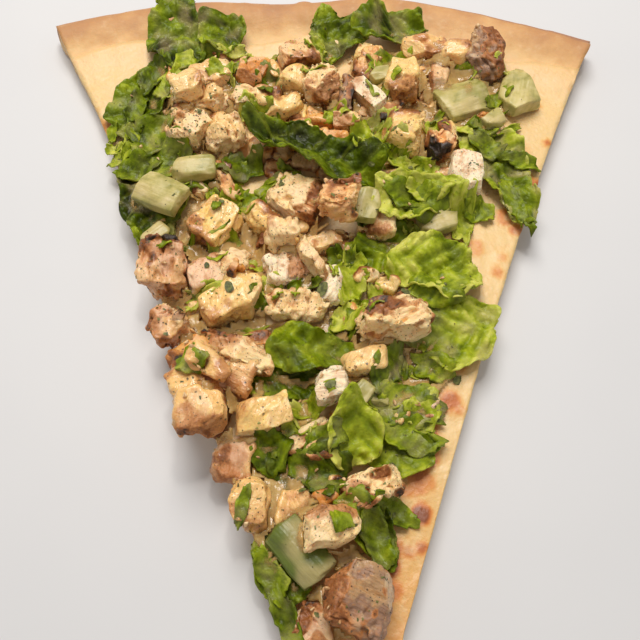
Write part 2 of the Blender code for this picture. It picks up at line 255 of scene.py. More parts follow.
class Finish:
    """A material. fixed gives the shader's values that are the same all over."""

    def __init__(self, name, **fixed):
        self.material = bpy.data.materials.new(name)
        self.material.use_nodes = True
        self.tree = self.material.node_tree
        self.shader = self.tree.nodes["Principled BSDF"]
        for socket, value in fixed.items():
            self.shader.inputs[socket.replace("_", " ")].default_value = value
        self.places = self.node("ShaderNodeTexCoord", out="Object")

    def node(self, kind, settings=None, sockets=None, out=0):
        made = self.tree.nodes.new(kind)
        for setting, value in (settings or {}).items():
            if setting == "stops":
                self.set_stops(made.color_ramp, value)
            else:
                setattr(made, setting, value)
        for key, value in (sockets or {}).items():
            if isinstance(value, Wire):
                self.tree.links.new(value.socket, made.inputs[key])
            else:
                made.inputs[key].default_value = value
        return Wire(self, made.outputs[out])

    def set_stops(self, ramp, stops):
        while len(ramp.elements) < len(stops):
            ramp.elements.new(1.0)
        for element, (place, colour) in zip(ramp.elements, stops):
            element.position = place
            element.color = colour

    def mark(self, name, out="Fac"):
        """A value that was worked out for each corner of the mesh."""
        return self.node("ShaderNodeAttribute", {"attribute_name": name}, out=out)

    def grain(self, size, detail, rough=0.55):
        """Noise from 0 to 1 with lumps about this many millimetres apart."""
        sockets = {"Vector": self.places, "Scale": 1 / (size * MM), "Detail": detail, "Roughness": rough}
        return self.node("ShaderNodeTexNoise", {}, sockets)

    def uneven(self, size, detail, amount):
        """The same noise about 0, over this much in all."""
        return (self.grain(size, detail) - 0.5) * amount

    def strands(self, scale, detail):
        """Noise drawn out along the fibres, by the places stored in the mark "threads"."""
        sockets = {"Vector": self.mark("threads", "Vector"), "Scale": scale, "Detail": detail}
        return self.node("ShaderNodeTexNoise", {}, sockets)

    def between(self, value, low, high):
        """0 below low, 1 above high, and a soft slope between."""
        settings = {"interpolation_type": "SMOOTHSTEP"}
        return self.node("ShaderNodeMapRange", settings, {"Value": value, "From Min": low, "From Max": high})

    def blend(self, under, over, share):
        """One colour over another, where share runs from 0 to 1."""
        settings = {"data_type": "RGBA", "clamp_factor": True}
        return self.node("ShaderNodeMix", settings, {0: share, 6: under, 7: over}, out=2)

    def ramp(self, value, *stops):
        """The colour at this value, between stops that each have a place and a colour."""
        return self.node("ShaderNodeValToRGB", {"stops": stops}, {"Fac": value})

    def relief(self, height, depth, under=None):
        """Fine relief. height runs from 0 to 1, and depth is in millimetres."""
        sockets = {"Height": height, "Distance": depth * MM, "Strength": 1.0}
        if under:
            sockets["Normal"] = under
        return self.node("ShaderNodeBump", {}, sockets)

    def lay(self, **wires):
        """Links the finished wires to the shader."""
        for socket, wire in wires.items():
            self.tree.links.new(wire.socket, self.shader.inputs[socket.replace("_", " ")])


print("pale crust in linear values:", [round(c, 3) for c in paint(238, 202, 150)])

# %% [markdown]
# ## The dough
#
# Thin dough, baked on stone: the rim is a low smooth roll, brown on its outer crest and pale
# where it meets the cheese. It was cut with a wheel, so the two long sides show a crisp edge
# with fine crumb. The copy is subdivided to a cell of about a millimetre, then each corner is
# moved along its normal. How well baked each corner is gets worked out from how near it lies
# to the outer edge, and stored on the mesh for the finish to read.

# %% Shape of the dough
HALF_ANGLE = math.radians(22)
RIM_REACH, RIM_SLANT, RIM_FALL, RIM_DENT = 252.6, 5.0, 5.0, 5.0  # millimetres, from the point
CUT_EDGE = 50  # degrees: what bends more was cut


def rim_distance(point):
    """Millimetres in from the slice's outer edge, and the place across, -1 to 1."""
    x, y = point[0] / MM, (point[1] + POINT_TO_ORIGIN) / MM
    across = math.atan2(x, max(1.0, y)) / HALF_ANGLE
    dent = RIM_DENT * math.exp(-(((across + 0.12) / 0.27) ** 2))
    outer = RIM_REACH - RIM_SLANT * across - RIM_FALL * step_up(0.25, 0.8, across) - dent
    return outer - math.hypot(x, y), across


def how_baked(place, inward, across):
    """Brown towards the outer edge and on its left, in patches."""
    crest = (0.73 - 0.11 * across) * step_up(30, -2, inward) + 0.4 * step_up(2.5, 0, inward)
    patches = 0.16 * ripple(place, 22, 3) + 0.1 * ripple(place, 7, 9)
    return crest + patches * step_up(34, 10, inward)


def shape_dough():
    bm = subdivided(merged_copy("dough"), 3, crease_over=CUT_EDGE)
    baked, cut = new_marks(bm, "baked", "cut")
    moves = []
    for point in bm.verts:
        inward, across = rim_distance(point.co)
        side = step_up(0.9, 0.97, abs(across)) * step_up(0.75, 0.35, abs(point.normal.z))
        side *= step_up(2, 5, inward)
        under = step_up(-0.2, -0.6, point.normal.z)
        crest = how_baked(point.co, inward, across)
        point[baked] = max(0.0, crest * (1 - under) + under * (0.35 + 0.4 * ripple(point.co, 16, 4)))
        point[cut] = side
        lumps = 0.16 * ripple(point.co, 7, 1) + 0.07 * ripple(point.co, 2.6, 2)
        blister = 0.7 * step_up(0.25, 0.6, ripple(point.co, 10, 6)) * step_up(20, 10, inward) * (1 - under)
        crumb = side * (0.35 * ripple(point.co, 3.4, 5) + 0.2 * ripple(point.co, 1.3, 8))
        moves.append(point.normal * (lumps * (1 - under) + blister + crumb) * MM)
    move_all(bm, moves)
    for point in bm.verts:
        point.co.z = max(0.0, point.co.z)
    return bm


dough_bm = shape_dough()
print("dough:", len(dough_bm.faces), "faces")

# %% [markdown]
# The crust's colour runs from pale straw by the cheese to a soft tan on the crest, with freckles
# a few millimetres wide. Crust turns too orange easily, so the browns stay muted. Light enters
# bread a little, which the subsurface value gives.

# %% Finish of the dough
def crust_colour(finish):
    """Straw to brown, by the mark "baked" with freckles. The cheese's rim end wears it too."""
    level = finish.mark("baked") + finish.uneven(9, 4, 0.3) + finish.uneven(2.2, 3, 0.14)
    return finish.ramp(
        level.clamped(),
        (0.0, paint(238, 202, 150)),
        (0.3, paint(236, 194, 134)),
        (0.45, paint(220, 170, 110)),
        (0.65, paint(196, 142, 90)),
        (0.95, paint(166, 116, 82)),
    )


def dough_finish():
    crust = Finish("baked_dough", **lit_through(0.15, (1.0, 0.6, 0.3), 1.2))
    cut = crust.mark("cut")
    colour = crust_colour(crust)
    flour = crust.between(crust.grain(5, 5, rough=0.7), 0.52, 0.75)
    colour = crust.blend(colour, paint(236, 208, 166), flour * 0.25)
    pores = crust.between(crust.grain(2.4, 5, rough=0.7), 0.35, 0.8)
    crumb = crust.blend(paint(230, 198, 146), paint(208, 168, 114), pores)
    colour = crust.blend(colour, crumb, cut * 0.85)
    skin = crust.relief(crust.grain(0.8, 4), 0.12)
    skin = crust.relief(crust.grain(3.5, 3), 0.25, skin)
    rough = 0.62 + crust.uneven(2.0, 2, 0.25)
    crust.lay(Base_Color=colour, Roughness=rough, Normal=skin)
    return crust


crust_finish = dough_finish()
add_piece("crust", dough_bm, crust_finish, "baked_dough", "dough")
print("crust nodes:", len(crust_finish.tree.nodes))

# %% [markdown]
# ## The cheese
#
# A thin layer of mozzarella, melted into the dough. Towards the rim it fades into the crust's
# colours, and the sheet is pale yellow and lumpy, with blisters that browned in the oven. Most
# of it hides under the topping. The blisters that show along the right edge and near the point
# are listed one by one, some of them rings round a pale middle, and a noise scatters the rest.

# %% Shape of the cheese
BLISTERS = (  # across, along, radius, how brown, how much of a ring
    (74, 213, 3.2, 0.55, 0.5), (84, 207, 1.0, 0.7, 0), (73, 195, 1.8, 0.6, 0),
    (64, 175, 4.0, 0.3, 0), (63, 164, 4.2, 0.8, 0.4), (67, 162, 2.6, 0.7, 0),
    (74, 179, 1.4, 0.8, 0), (56, 150, 4.0, 0.8, 0.8), (58, 145, 2.6, 0.8, 0),
    (44, 139, 3.6, 0.55, 0.7), (50, 130, 2.2, 0.5, 0), (52, 135, 2.0, 0.35, 0),
    (31, 90, 4.0, 0.75, 0), (33, 88, 2.6, 0.5, 0), (35, 100, 2.6, 0.4, 0), (24, 82, 4.2, 0.65, 0),
    (25, 78, 2.6, 0.5, 0), (24, 74, 3.0, 0.6, 0), (20, 71, 3.6, 0.8, 0.2), (23, 68, 2.4, 0.4, 0),
    (20, 60, 3.0, 1.0, 0.2), (9, 59, 3.4, 0.9, 0), (11.5, 52, 3.2, 0.85, 0), (11, 48, 2.8, 0.8, 0),
    (11.5, 42, 2.4, 0.4, 0), (16, 51, 1.8, 0.4, 0), (19.5, 52, 1.6, 0.6, 0), (30, 110, 3.0, 0.5, 0),
    (-20, 50, 3.0, 0.7, 0), (-16, 45, 3.6, 0.7, 0), (-14, 36, 3.0, 0.7, 0), (4, 22, 3.5, 0.4, 0),
    (-62, 190, 3.0, 0.5, 0), (-27, 66, 2.6, 0.8, 0), (-24, 58, 2.4, 0.7, 0),
    (43, 118, 2.2, 0.5, 0.5),
)
INTO_DOUGH = Vector((0, 0, -0.35 * MM))  # the underside sinks in, so no gap shows


def shape_cheese():
    bm = subdivided(merged_copy("cheese"), 3, crease_over=CUT_EDGE)
    toast, fade, baked = new_marks(bm, "toast", "fade", "baked")
    moves = []
    for point in bm.verts:
        upward = step_up(0.0, 0.5, point.normal.z)
        inward, across_slice = rim_distance(point.co)
        spot = step_up(0.42, 0.7, ripple(point.co, 9, 21)) * 0.45
        wobble = ripple(point.co, 3, 5) + 0.6 * ripple(point.co, 1.4, 6)
        for across, along, radius, brown, ring in BLISTERS:
            away = (point.co.xy - on_slice(across, along).xy).length / MM
            if away < radius + 3:
                there = brown * step_up(radius + wobble + 0.8, 0.35 * radius, away)
                spot = max(spot, there * (1 - 0.7 * ring * step_up(0.75 * radius, 0.2 * radius, away)))
        # Browned on the blisters, and browned towards the point as painted shade for the darker point of the
        # slice.
        point[toast] = spot + 0.3 * step_up(90, 30, (point.co.y + POINT_TO_ORIGIN) / MM)
        point[fade] = step_up(34, 19, inward)
        point[baked] = max(0.0, how_baked(point.co, inward, across_slice))
        lumps = 0.4 * ripple(point.co, 6, 7) + 0.22 * ripple(point.co, 2.8, 8) + 0.3 * spot
        moves.append(point.normal * upward * lumps * MM if upward else INTO_DOUGH)
    move_all(bm, moves)
    return bm


cheese_bm = shape_cheese()
nearest_rim = min(rim_distance(point.co)[0] for point in cheese_bm.verts)
print("cheese:", len(cheese_bm.faces), "faces, up to", round(nearest_rim), "mm from the slice's outer edge")

# %% Finish of the cheese
def cheese_finish():
    melt = Finish("melted_cheese", **lit_through(0.25, (1.0, 0.7, 0.35), 1.5))
    toast = melt.mark("toast")
    # Real browning on the blisters, plus painted shade towards the point.
    level = (toast + melt.uneven(1.6, 4, 0.6) * toast + melt.uneven(7, 4, 0.2)).clamped()
    colour = melt.ramp(
        level,
        (0.0, paint(236, 200, 140)),
        (0.2, paint(232, 184, 114)),
        (0.45, paint(222, 148, 76)),
        (0.7, paint(196, 112, 54)),
        (1.0, paint(140, 76, 40)),
    )
    whey = melt.between(melt.grain(4, 4), 0.5, 0.75)
    colour = melt.blend(colour, paint(240, 216, 170), whey * 0.4)
    colour = melt.blend(colour, crust_colour(melt), melt.mark("fade"))
    skin = melt.relief(melt.grain(1.6, 4), 0.35)
    rough = 0.42 + melt.uneven(3.0, 3, 0.3)
    melt.lay(Base_Color=colour, Roughness=rough, Normal=skin)
    return melt


cheese_look = cheese_finish()
add_piece("melted_top", cheese_bm, cheese_look, "melted_cheese", "cheese")
print("blisters placed by hand:", len(BLISTERS))

# %% [markdown]
# ## The chicken
#
# Breast meat grilled whole, then diced and torn: knife-cut faces are flat, white and finely
# fibrous, grilled faces are brown to black, and the rest tears along the fibres. Each solid is
# split once flat, which keeps its corners, and then three times rounded. The roundest chunks
# are rounded all four times, and some of them lose their corners first. A chunk is then made
# lumpy, pressed flat on a few planes where the knife went, and roughened everywhere else. A
# table says how each one looks in the photograph.

# %% How each chunk looks
FLESH = {
    "white": (255, 232, 196),
    "cream": (255, 218, 160),
    "tan": (240, 184, 122),
    "yellow": (255, 214, 134),
    "pink": (246, 204, 166),
    "amber": (224, 144, 54),
    "rosy": (222, 172, 132),
    # dull is a greyish flesh made darker as painted shade, for the shaded point of the slice
    "dull": (156, 119, 94),
}
# number: flesh, grilled side (degrees from across), darkness, spots, dressing, torn
CHUNKS = {
    1: ("pink", 180, 0.2, 0.2, 0.7, 0.5), 2: ("amber", -60, 0.5, 0.2, 0.3, 0.2),
    3: ("tan", -60, 0.8, 0.9, 0.4, 0.6), 4: ("tan", 200, 0.8, 0.3, 0.5, 0.4),
    5: ("tan", -40, 0.7, 0.4, 0.9, 0.3), 6: ("dull", 0, 0.9, 0.3, 0.2, 0.6),
    7: ("cream", 90, 0.2, 0.3, 0.5, 0.7), 8: ("cream", 160, 0.2, 0.2, 0.25, 0.9),
    9: ("cream", -60, 0.2, 0.3, 0.45, 0.9), 10: ("cream", -60, 0.6, 0.4, 0.2, 0.7),
    11: ("yellow", -80, 0.6, 0.1, 0.5, 0.3), 12: ("white", 180, 0.5, 0.2, 0.0, 0.1),
    13: ("yellow", 110, 0.8, 0.1, 0.7, 0.4), 14: ("tan", 235, 1.5, 1.0, 0.1, 0.9),
    15: ("white", 150, 0.2, 0.05, 0.0, 0.0), 16: ("cream", -30, 0.8, 0.6, 0.3, 0.8),
    17: ("yellow", 200, 0.5, 0.3, 0.7, 0.5), 18: ("yellow", 45, 0.9, 0.15, 0.8, 0.4),
    19: ("tan", 60, 0.9, 0.8, 0.3, 0.9), 20: ("rosy", 100, 1.0, 0.9, 0.3, 0.8),
    21: ("yellow", -100, 0.3, 0.05, 0.6, 0.2), 22: ("white", 20, 0.5, 0.15, 0.1, 0.5),
    23: ("cream", 90, 0.3, 0.25, 0.3, 0.8), 24: ("rosy", -150, 0.5, 0.8, 0.4, 0.9),
    25: ("rosy", 100, 0.8, 0.8, 0.2, 0.9), 26: ("cream", 100, 1.15, 0.5, 0.2, 1.1),
    27: ("tan", -35, 0.9, 0.6, 0.9, 0.5), 28: ("white", 180, 0.1, 0.05, 0.0, 0.1),
    29: ("yellow", 150, 0.3, 0.1, 0.7, 0.4), 30: ("cream", -110, 0.6, 0.75, 0.1, 0.9),
    31: ("tan", -90, 0.3, 0.2, 0.9, 0.4), 32: ("cream", 90, 0.6, 0.2, 0.3, 0.4),
    33: ("rosy", 170, 0.9, 0.9, 0.3, 0.7), 34: ("dull", 190, 0.8, 0.85, 0.2, 0.6),
}


def knife_cuts(draw, torn=0.0):
    """A few cuts: the way each faces, and how far out it lies as a share of the chunk's reach."""
    cuts = [(Vector((draw.gauss(0, 0.3), draw.gauss(0, 0.3), 1)), draw.uniform(0.68, 0.88))]
    start = draw.uniform(0, math.tau)
    for quarter in range(4):
        angle = start + quarter * math.pi / 2 + draw.gauss(0, 0.3)
        facing = heading(angle, draw.gauss(0.15, 0.35))
        if draw.random() > 0.8 * torn:
            cuts.append((facing, draw.uniform(0.68, 1.0)))
    return [(facing.normalized(), share) for facing, share in cuts]


def press_flat(bm, cuts, passes=2):
    """Flattens a lump on each cut, marks what was pressed, and rounds all this many times."""
    middle = sum((point.co for point in bm.verts), Vector()) / len(bm.verts)
    sliced = bm.verts.layers.float.get("sliced") or bm.verts.layers.float.new("sliced")
    for facing, share in cuts:
        limit = share * max((point.co - middle).dot(facing) for point in bm.verts)
        for point in bm.verts:
            over = (point.co - middle).dot(facing) - limit - 0.35 * ripple(point.co, 5, 40 * share) * MM
            if over > 0:
                point.co -= 0.92 * over * facing
                point[sliced] = max(point[sliced], step_up(0, 0.4 * MM, over))
    for _ in range(passes):
        bmesh.ops.smooth_vert(
            bm, verts=bm.verts, factor=0.5, use_axis_x=True, use_axis_y=True, use_axis_z=True
        )
    bm.normal_update()


def make_meat(bm, look, seed):
    """Shapes one chunk, and stores its flesh, browning, dressing and fibres on each corner."""
    flesh, side, darkness, spots, dressing, torn = look
    draw = random.Random(seed)
    angle = draw.uniform(0, math.pi)
    fibre = heading(angle, 0.25).normalized()
    grilled = heading(math.radians(side), 0.45).normalized()
    for point in bm.verts:
        place = point.co.copy()
        sway = Vector([ripple(place, 11, seed + shift) for shift in (11, 13, 15)])
        lump = (0.5 + torn) * (1.2 * ripple(place, 7, seed) + ripple(place, 3.8, seed + 4))
        point.co += ((0.8 + 1.2 * torn) * sway + lump * point.normal) * MM
    press_flat(bm, knife_cuts(draw, torn))
    middle = sum((point.co for point in bm.verts), Vector()) / len(bm.verts)
    reach = max((point.co - middle).length for point in bm.verts)
    layers = bm.verts.layers
    tone, threads = layers.float_color.new("flesh"), layers.float_vector.new("threads")
    brown, wet = new_marks(bm, "brown", "wet")
    sliced = layers.float["sliced"]
    moves = []
    for point in bm.verts:
        place, normal = point.co, point.normal
        drawn = place - 0.85 * place.dot(fibre) * fibre
        outer = (place - middle).length / reach
        runs = ripple(place, 8, seed + 8) + 0.5 * ripple(place, 3.5, seed + 12) + dressing - 0.4
        glaze = step_up(-0.1, 0.12, runs) * step_up(-0.1, 0.5, normal.z) * min(1.0, 1.6 * dressing)
        rough = (0.2 + torn) * (1 - 0.7 * point[sliced]) * (1 - 0.8 * glaze)
        strands = 0.3 * ripple(drawn, 1.7, seed + 1) + 0.16 * ripple(drawn, 0.9, seed + 2)
        pits = step_up(0.05, 0.5, ripple(place, 2.4, seed + 3))
        split = step_up(0.14, 0.02, abs(ripple(drawn, 4.2, seed + 14)))
        split *= step_up(-0.1, 0.3, ripple(place, 6, seed + 16))
        shreds = step_up(0.5, 1.0, outer) * ripple(place, 2.0, seed + 5)
        out = strands * (0.3 + rough) - (1.2 * pits + 1.4 * split) * rough + shreds * rough + 0.45 * glaze
        moves.append(normal * out * MM)
        facing = 0.55 * normal.dot(grilled) + 0.75 * (place - middle).dot(grilled) / reach
        char = darkness * step_up(0.22, 0.8, facing + 0.4 * ripple(place, 5, seed + 6))
        char += 1.15 * spots * step_up(0.2, 0.55, ripple(place, 4.5, seed + 7)) * (1 - 0.4 * point[sliced])
        char += 0.8 * spots * step_up(0.7, 1.0, outer) * step_up(0.0, 0.4, ripple(place, 3, seed + 10))
        point[brown] = char
        point[wet] = glaze
        shade = 1 + 0.07 * ripple(place, 9, seed + 9)
        point[tone] = Vector(paint(*FLESH[flesh])) * shade
        point[threads] = drawn / MM
    move_all(bm, moves)


print("chunks in the table:", len(CHUNKS))

# %% [markdown]
# The finish lays one colour over another, each by its own share: flesh, whiter where it was
# sliced and darker between its fibres, golden stains, pale clouds that are painted highlights,
# the dressing's glaze, the grill's tan, brown and black, and last the specks of pepper, which
# are the cells of a Voronoi pattern.

# %% Finish of the chicken
def speckled(finish, size, radius, rarity):
    """1 on specks about this many millimetres apart, where more rarity leaves fewer."""
    cells = {"Vector": finish.places, "Scale": 1 / (size * MM)}
    away = finish.node("ShaderNodeTexVoronoi", {}, cells)
    chance = finish.node("ShaderNodeTexVoronoi", {}, cells, out="Color")
    away = away + finish.uneven(0.4 * size, 2, 0.35)
    return finish.between(away, radius, 0.6 * radius) * finish.between(chance, rarity, rarity + 0.03)


def chicken_finish():
    glow = lit_through(0.35, (1.0, 0.62, 0.34), 1.5)
    meat = Finish("grilled_chicken", **glow, Specular_IOR_Level=0.5, Coat_Roughness=0.12)
    brown, wet, sliced = meat.mark("brown"), meat.mark("wet"), meat.mark("sliced")
    strand = meat.strands(1.1, 3.0)
    cloud = meat.grain(3.2, 4)
    speck = meat.grain(0.9, 3)
    patch = meat.grain(4.5, 5, rough=0.65)
    stain = meat.between(patch + (speck - 0.5) * 0.5, 0.54, 0.7) * (0.65 - sliced * 0.35)
    grill = brown + (cloud - 0.5) * (0.4 + brown.clamped() * 0.9) + (speck - 0.5) * 1.2 * brown.clamped()
    pepper = speckled(meat, 1.7, 0.26, 0.66) * meat.between(patch, 0.4, 0.52)
    dust = speckled(meat, 0.7, 0.3, 0.5) * meat.between(meat.grain(6, 3), 0.44, 0.56)
    colour = meat.mark("flesh", "Color")
    for shade, share in (
        (paint(252, 222, 180), sliced * 0.4),  # the knife's pale face
        (paint(190, 132, 78), meat.between(strand, 0.48, 0.72) * 0.45),  # between fibres
        (paint(202, 136, 70), stain * (1 - wet * 0.6)),  # juices that browned
        # pale clouds: painted highlights
        (paint(252, 220, 172), meat.between(cloud, 0.52, 0.75) * 0.45),  # pale clouds
        (paint(248, 200, 120), wet * 0.7),  # dressing
        (paint(190, 120, 58), meat.between(grill, 0.12, 0.45) * 0.8),  # tan
        (paint(146, 86, 38), meat.between(grill, 0.45, 0.85)),  # brown
        (paint(54, 38, 26), meat.between(grill, 0.98, 1.4)),  # black
        (paint(70, 60, 40), pepper * 0.85),
        (paint(104, 86, 54), dust * 0.8),
    ):
        colour = meat.blend(colour, shade, share)
    skin = meat.relief(strand, 0.55)
    skin = meat.relief(speck, 0.3, skin)
    rough = 0.52 - wet * 0.22 + (cloud - 0.5) * 0.3
    meat.lay(Base_Color=colour, Roughness=rough, Coat_Weight=wet * 0.5, Normal=skin)
    return meat


meat_finish = chicken_finish()
print("chicken nodes:", len(meat_finish.tree.nodes))

# %% Shape of the chicken
OTHER_DRAWS = {26: 5.3}  # a seed that tears this chunk where the photograph does
ROUNDED = (7, 9, 14, 16, 24, 26, 31)
TRIMMED = {26: 0.78, 8: 0.86, 16: 0.88, 24: 0.86, 31: 0.86}  # how far out the eight sides lie
SPLITS = 4


def trim_corners(bm, share):
    """Makes a dice rounder from above: eight upright sides, this far out, none of them sliced."""
    ways = [heading(math.radians(22 + 45 * turn), 0.25).normalized() for turn in range(8)]
    press_flat(bm, [(way, share) for way in ways])
    sliced = bm.verts.layers.float["sliced"]
    for point in bm.verts:
        point[sliced] = 0


def shape_chunk(number):
    bm = merged_copy(f"chicken_{number:02d}")
    if number not in ROUNDED:
        bmesh.ops.subdivide_edges(bm, edges=bm.edges, cuts=1, use_grid_fill=True)
    bm = subdivided(bm, SPLITS if number in ROUNDED else SPLITS - 1)
    if number in TRIMMED:
        trim_corners(bm, TRIMMED[number])
    make_meat(bm, CHUNKS[number], OTHER_DRAWS.get(number, number * 1.7))
    return bm


chunk_faces = 0
for number in CHUNKS:
    chunk_bm = shape_chunk(number)
    chunk_faces += len(chunk_bm.faces)
    node = f"chicken_{number:02d}"
    add_piece(f"diced_{node}", chunk_bm, meat_finish, "grilled_chicken", node)
print("chicken:", chunk_faces, "faces")

# %% [markdown]
# ## The leaves
#
# Torn romaine: thin, glossy, crumpled, with a pale midrib and side veins, swollen between them
# and frilled at the torn edge. A leaf solid is a sheet with some thickness, so only the faces
# that look up are kept and subdivided. The side veins are worked out from the place along and
# across the midrib, a Voronoi pattern gives the small blisters between them, and a folded noise
# gives sharp creases. A Solidify modifier gives back a true leaf's thickness.

# %% Shape of the leaves
LEAF_THICKNESS = 0.45 * MM
LEAF_MARKS = ("puckered", "green", "wet", "veined")
# number: brightness 0 to 1, vein spacing, how swollen, dressing
LEAVES = {
    1: (0.3, 7.0, 0.9, 0.5), 2: (0.36, 7.5, 1.0, 0.6), 3: (0.5, 6.0, 0.9, 0.6), 4: (0.52, 5.0, 0.9, 0.4),
    5: (0.45, 5.5, 0.9, 0.5), 6: (0.34, 6.5, 0.9, 0.6), 7: (0.72, 6.0, 0.9, 0.8), 8: (0.55, 5.0, 0.9, 0.1),
    9: (0.88, 5.0, 0.9, 0.6), 10: (0.98, 5.0, 1.3, 0.1), 11: (0.42, 5.5, 0.9, 0.1), 12: (0.42, 5.5, 0.9, 0.1),
    13: (0.66, 7.0, 0.7, 0.1), 14: (0.16, 8.0, 0.7, 0.2), 15: (0.4, 7.0, 0.7, 0.4), 16: (0.42, 7.0, 0.7, 0.2),
    17: (0.34, 9.0, 1.5, 0.05), 18: (1.12, 5.0, 1.1, 0.05), 19: (1.0, 5.0, 0.8, 0.05),
}


def blisters_at(place, size, seed):
    """0 between blisters, rising to about 1 in the middle of one."""
    near = noise.voronoi(Vector((place[0] / size / MM + seed, place[1] / size / MM, seed)))[0]
    return min(1.0, (near[1] - near[0]) * 1.6)


def crease(place, length, seed):
    """-1 to 1, with sharp ridges: the noise folded over at 0."""
    return 1 - 4 * abs(ripple(place, length, seed))


def veins_at(along, across, spacing, wander):
    """How near a place on a leaf is to a vein, 0 to 1, and how far the blade swells there."""
    phase = (along + 0.9 * abs(across)) / spacing + wander
    between = 2 * abs(phase - round(phase))
    vein = max(step_up(1.3, 0.3, abs(across)), 0.7 * step_up(0.24, 0.06, between))
    return vein, math.sin(0.5 * math.pi * between)


def midrib_of(bm):
    """The middle of a leaf, and the way its midrib runs."""
    flat = np.array([point.co.xy[:] for point in bm.verts])
    middle = flat.mean(0)
    way = np.linalg.svd(flat - middle, full_matrices=False)[2][0]
    return Vector((*middle, 0)), Vector((*way, 0)) * (1 if way[1] > 0 else -1)


def ruffle_leaf(bm, bright, spacing, height, dressing, seed):
    edge_points = [point for point in bm.verts if point.is_boundary]
    tree = KDTree(len(edge_points))
    for index, point in enumerate(edge_points):
        tree.insert(point.co, index)
    tree.balance()
    middle, way = midrib_of(bm)
    aside = Vector((-way.y, way.x, 0))
    puckered, green, wet, veined = new_marks(bm, *LEAF_MARKS)
    moves = []
    for point in bm.verts:
        place = point.co
        along = (place - middle).dot(way) / MM
        across = (place - middle).dot(aside) / MM + 2.0 * ripple(place, 16, seed + 4)
        vein, swollen = veins_at(along, across, spacing, 0.35 * ripple(place, 8, seed + 5))
        cells = blisters_at(place, 2.8, seed)
        near_edge, _, away = tree.find(place)
        frill = step_up(3.5 * MM, 0, away)
        rise = height * (0.9 * swollen + 0.75 * cells - 0.75) + crease(place, 13, seed + 2) - 0.5
        rise += 0.9 * ripple(place, 9, seed + 3) + 1.5 * frill * ripple(place, 3.6, seed + 8)
        out = (near_edge - place).normalized() if away > 0.01 * MM else Vector((0, 0, 0))
        jag = frill * (0.8 * ripple(place, 4.5, seed + 9) + 0.5 * ripple(place, 1.4, seed + 7))
        moves.append(Vector((0, 0, rise * MM)) + out * jag * MM)
        # How far the blade swells here; the finish paints its tops lighter and its hollows darker as painted
        # highlight and painted shade.
        point[puckered] = 0.6 * swollen + 0.4 * cells
        point[veined] = vein
        tint = 0.5 * ripple(place, 14, seed + 1) + 0.25 * ripple(place, 5, seed + 11)
        point[green] = bright + tint + 0.15 * frill
        point[wet] = dressing * step_up(-0.1, 0.5, ripple(place, 6, seed + 6))
    move_all(bm, moves)


def shape_leaf(number):
    bm = merged_copy(f"romaine_leaf_{number:02d}")
    bm.normal_update()
    hidden = [face for face in bm.faces if face.normal.z < 0.01]
    bmesh.ops.delete(bm, geom=hidden, context="FACES")
    bm = subdivided(bm, 3)
    ruffle_leaf(bm, *LEAVES[number], number * 2.3)
    return bm


# %% Finish of the leaves
def leaf_finish():
    leaf = Finish("romaine_leaf", **lit_through(0.3, (0.8, 1.0, 0.15), 0.9), Specular_IOR_Level=0.2)
    puckered, green, wet = leaf.mark("puckered"), leaf.mark("green"), leaf.mark("wet")
    # Painted highlight on the tops of the swellings, painted shade in the hollows between them.
    level = green * 0.8 + (puckered - 0.5) * 0.34
    level = level + leaf.uneven(5, 4, 0.5) + leaf.uneven(1.1, 3, 0.25)
    colour = leaf.ramp(
        level.clamped(),
        (0.0, paint(24, 32, 0)),
        (0.25, paint(68, 82, 0)),
        (0.5, paint(114, 130, 8)),
        (0.75, paint(164, 174, 36)),
        (1.0, paint(208, 206, 96)),
    )
    colour = leaf.blend(colour, paint(154, 164, 44), leaf.mark("veined") * 0.35)
    colour = leaf.blend(colour, paint(188, 168, 120), wet * 0.7)
    skin = leaf.relief(leaf.grain(1.0, 3), 0.25)
    skin = leaf.relief(leaf.grain(2.4, 2), 0.5, skin)
    rough = 0.34 - wet * 0.14 + leaf.uneven(2.5, 3, 0.3)
    leaf.lay(Base_Color=colour, Roughness=rough, Normal=skin)
    return leaf


green_finish = leaf_finish()
leaf_faces = 0
for number in LEAVES:
    leaf_bm = shape_leaf(number)
    leaf_faces += len(leaf_bm.faces)
    node = f"romaine_leaf_{number:02d}"
    leaf_piece = add_piece(f"torn_leaf_{number:02d}", leaf_bm, green_finish, "romaine_leaf", node)
    give_thickness(leaf_piece, LEAF_THICKNESS)
print("leaves:", leaf_faces, "faces before they get their thickness")

# %% [markdown]
# ## The ribs
#
# The crisp middle of a romaine leaf, chopped: pale, full of water, with ridges along its length
# and a few flat cuts. They are refined and cut as the chicken is, but stay smooth, and light of
# every colour passes into them. The large one by the rim was chopped to the shape of a kite.

# %% The ribs
def rib_finish():
    rib = Finish("romaine_rib", **lit_through(0.35, (1.0, 0.95, 0.5), 1.5), Specular_IOR_Level=0.45)
    cloud = rib.grain(4, 4)
    stripes = rib.strands(0.8, 2.0)
    colour = rib.ramp(
        (cloud * 0.75 + stripes * 0.25).clamped(),
        (0.32, paint(150, 142, 70)),
        (0.5, paint(200, 184, 114)),
        (0.7, paint(228, 208, 154)),
    )
    colour = rib.blend(paint(100, 112, 40), colour, rib.mark("pale"))
    colour = rib.blend(colour, paint(222, 196, 142), rib.mark("wet") * 0.6)
    skin = rib.relief(stripes, 0.3)
    skin = rib.relief(cloud, 0.4, skin)
    rib.lay(Base_Color=colour, Roughness=0.36 + (cloud - 0.5) * 0.4, Normal=skin)
    return rib


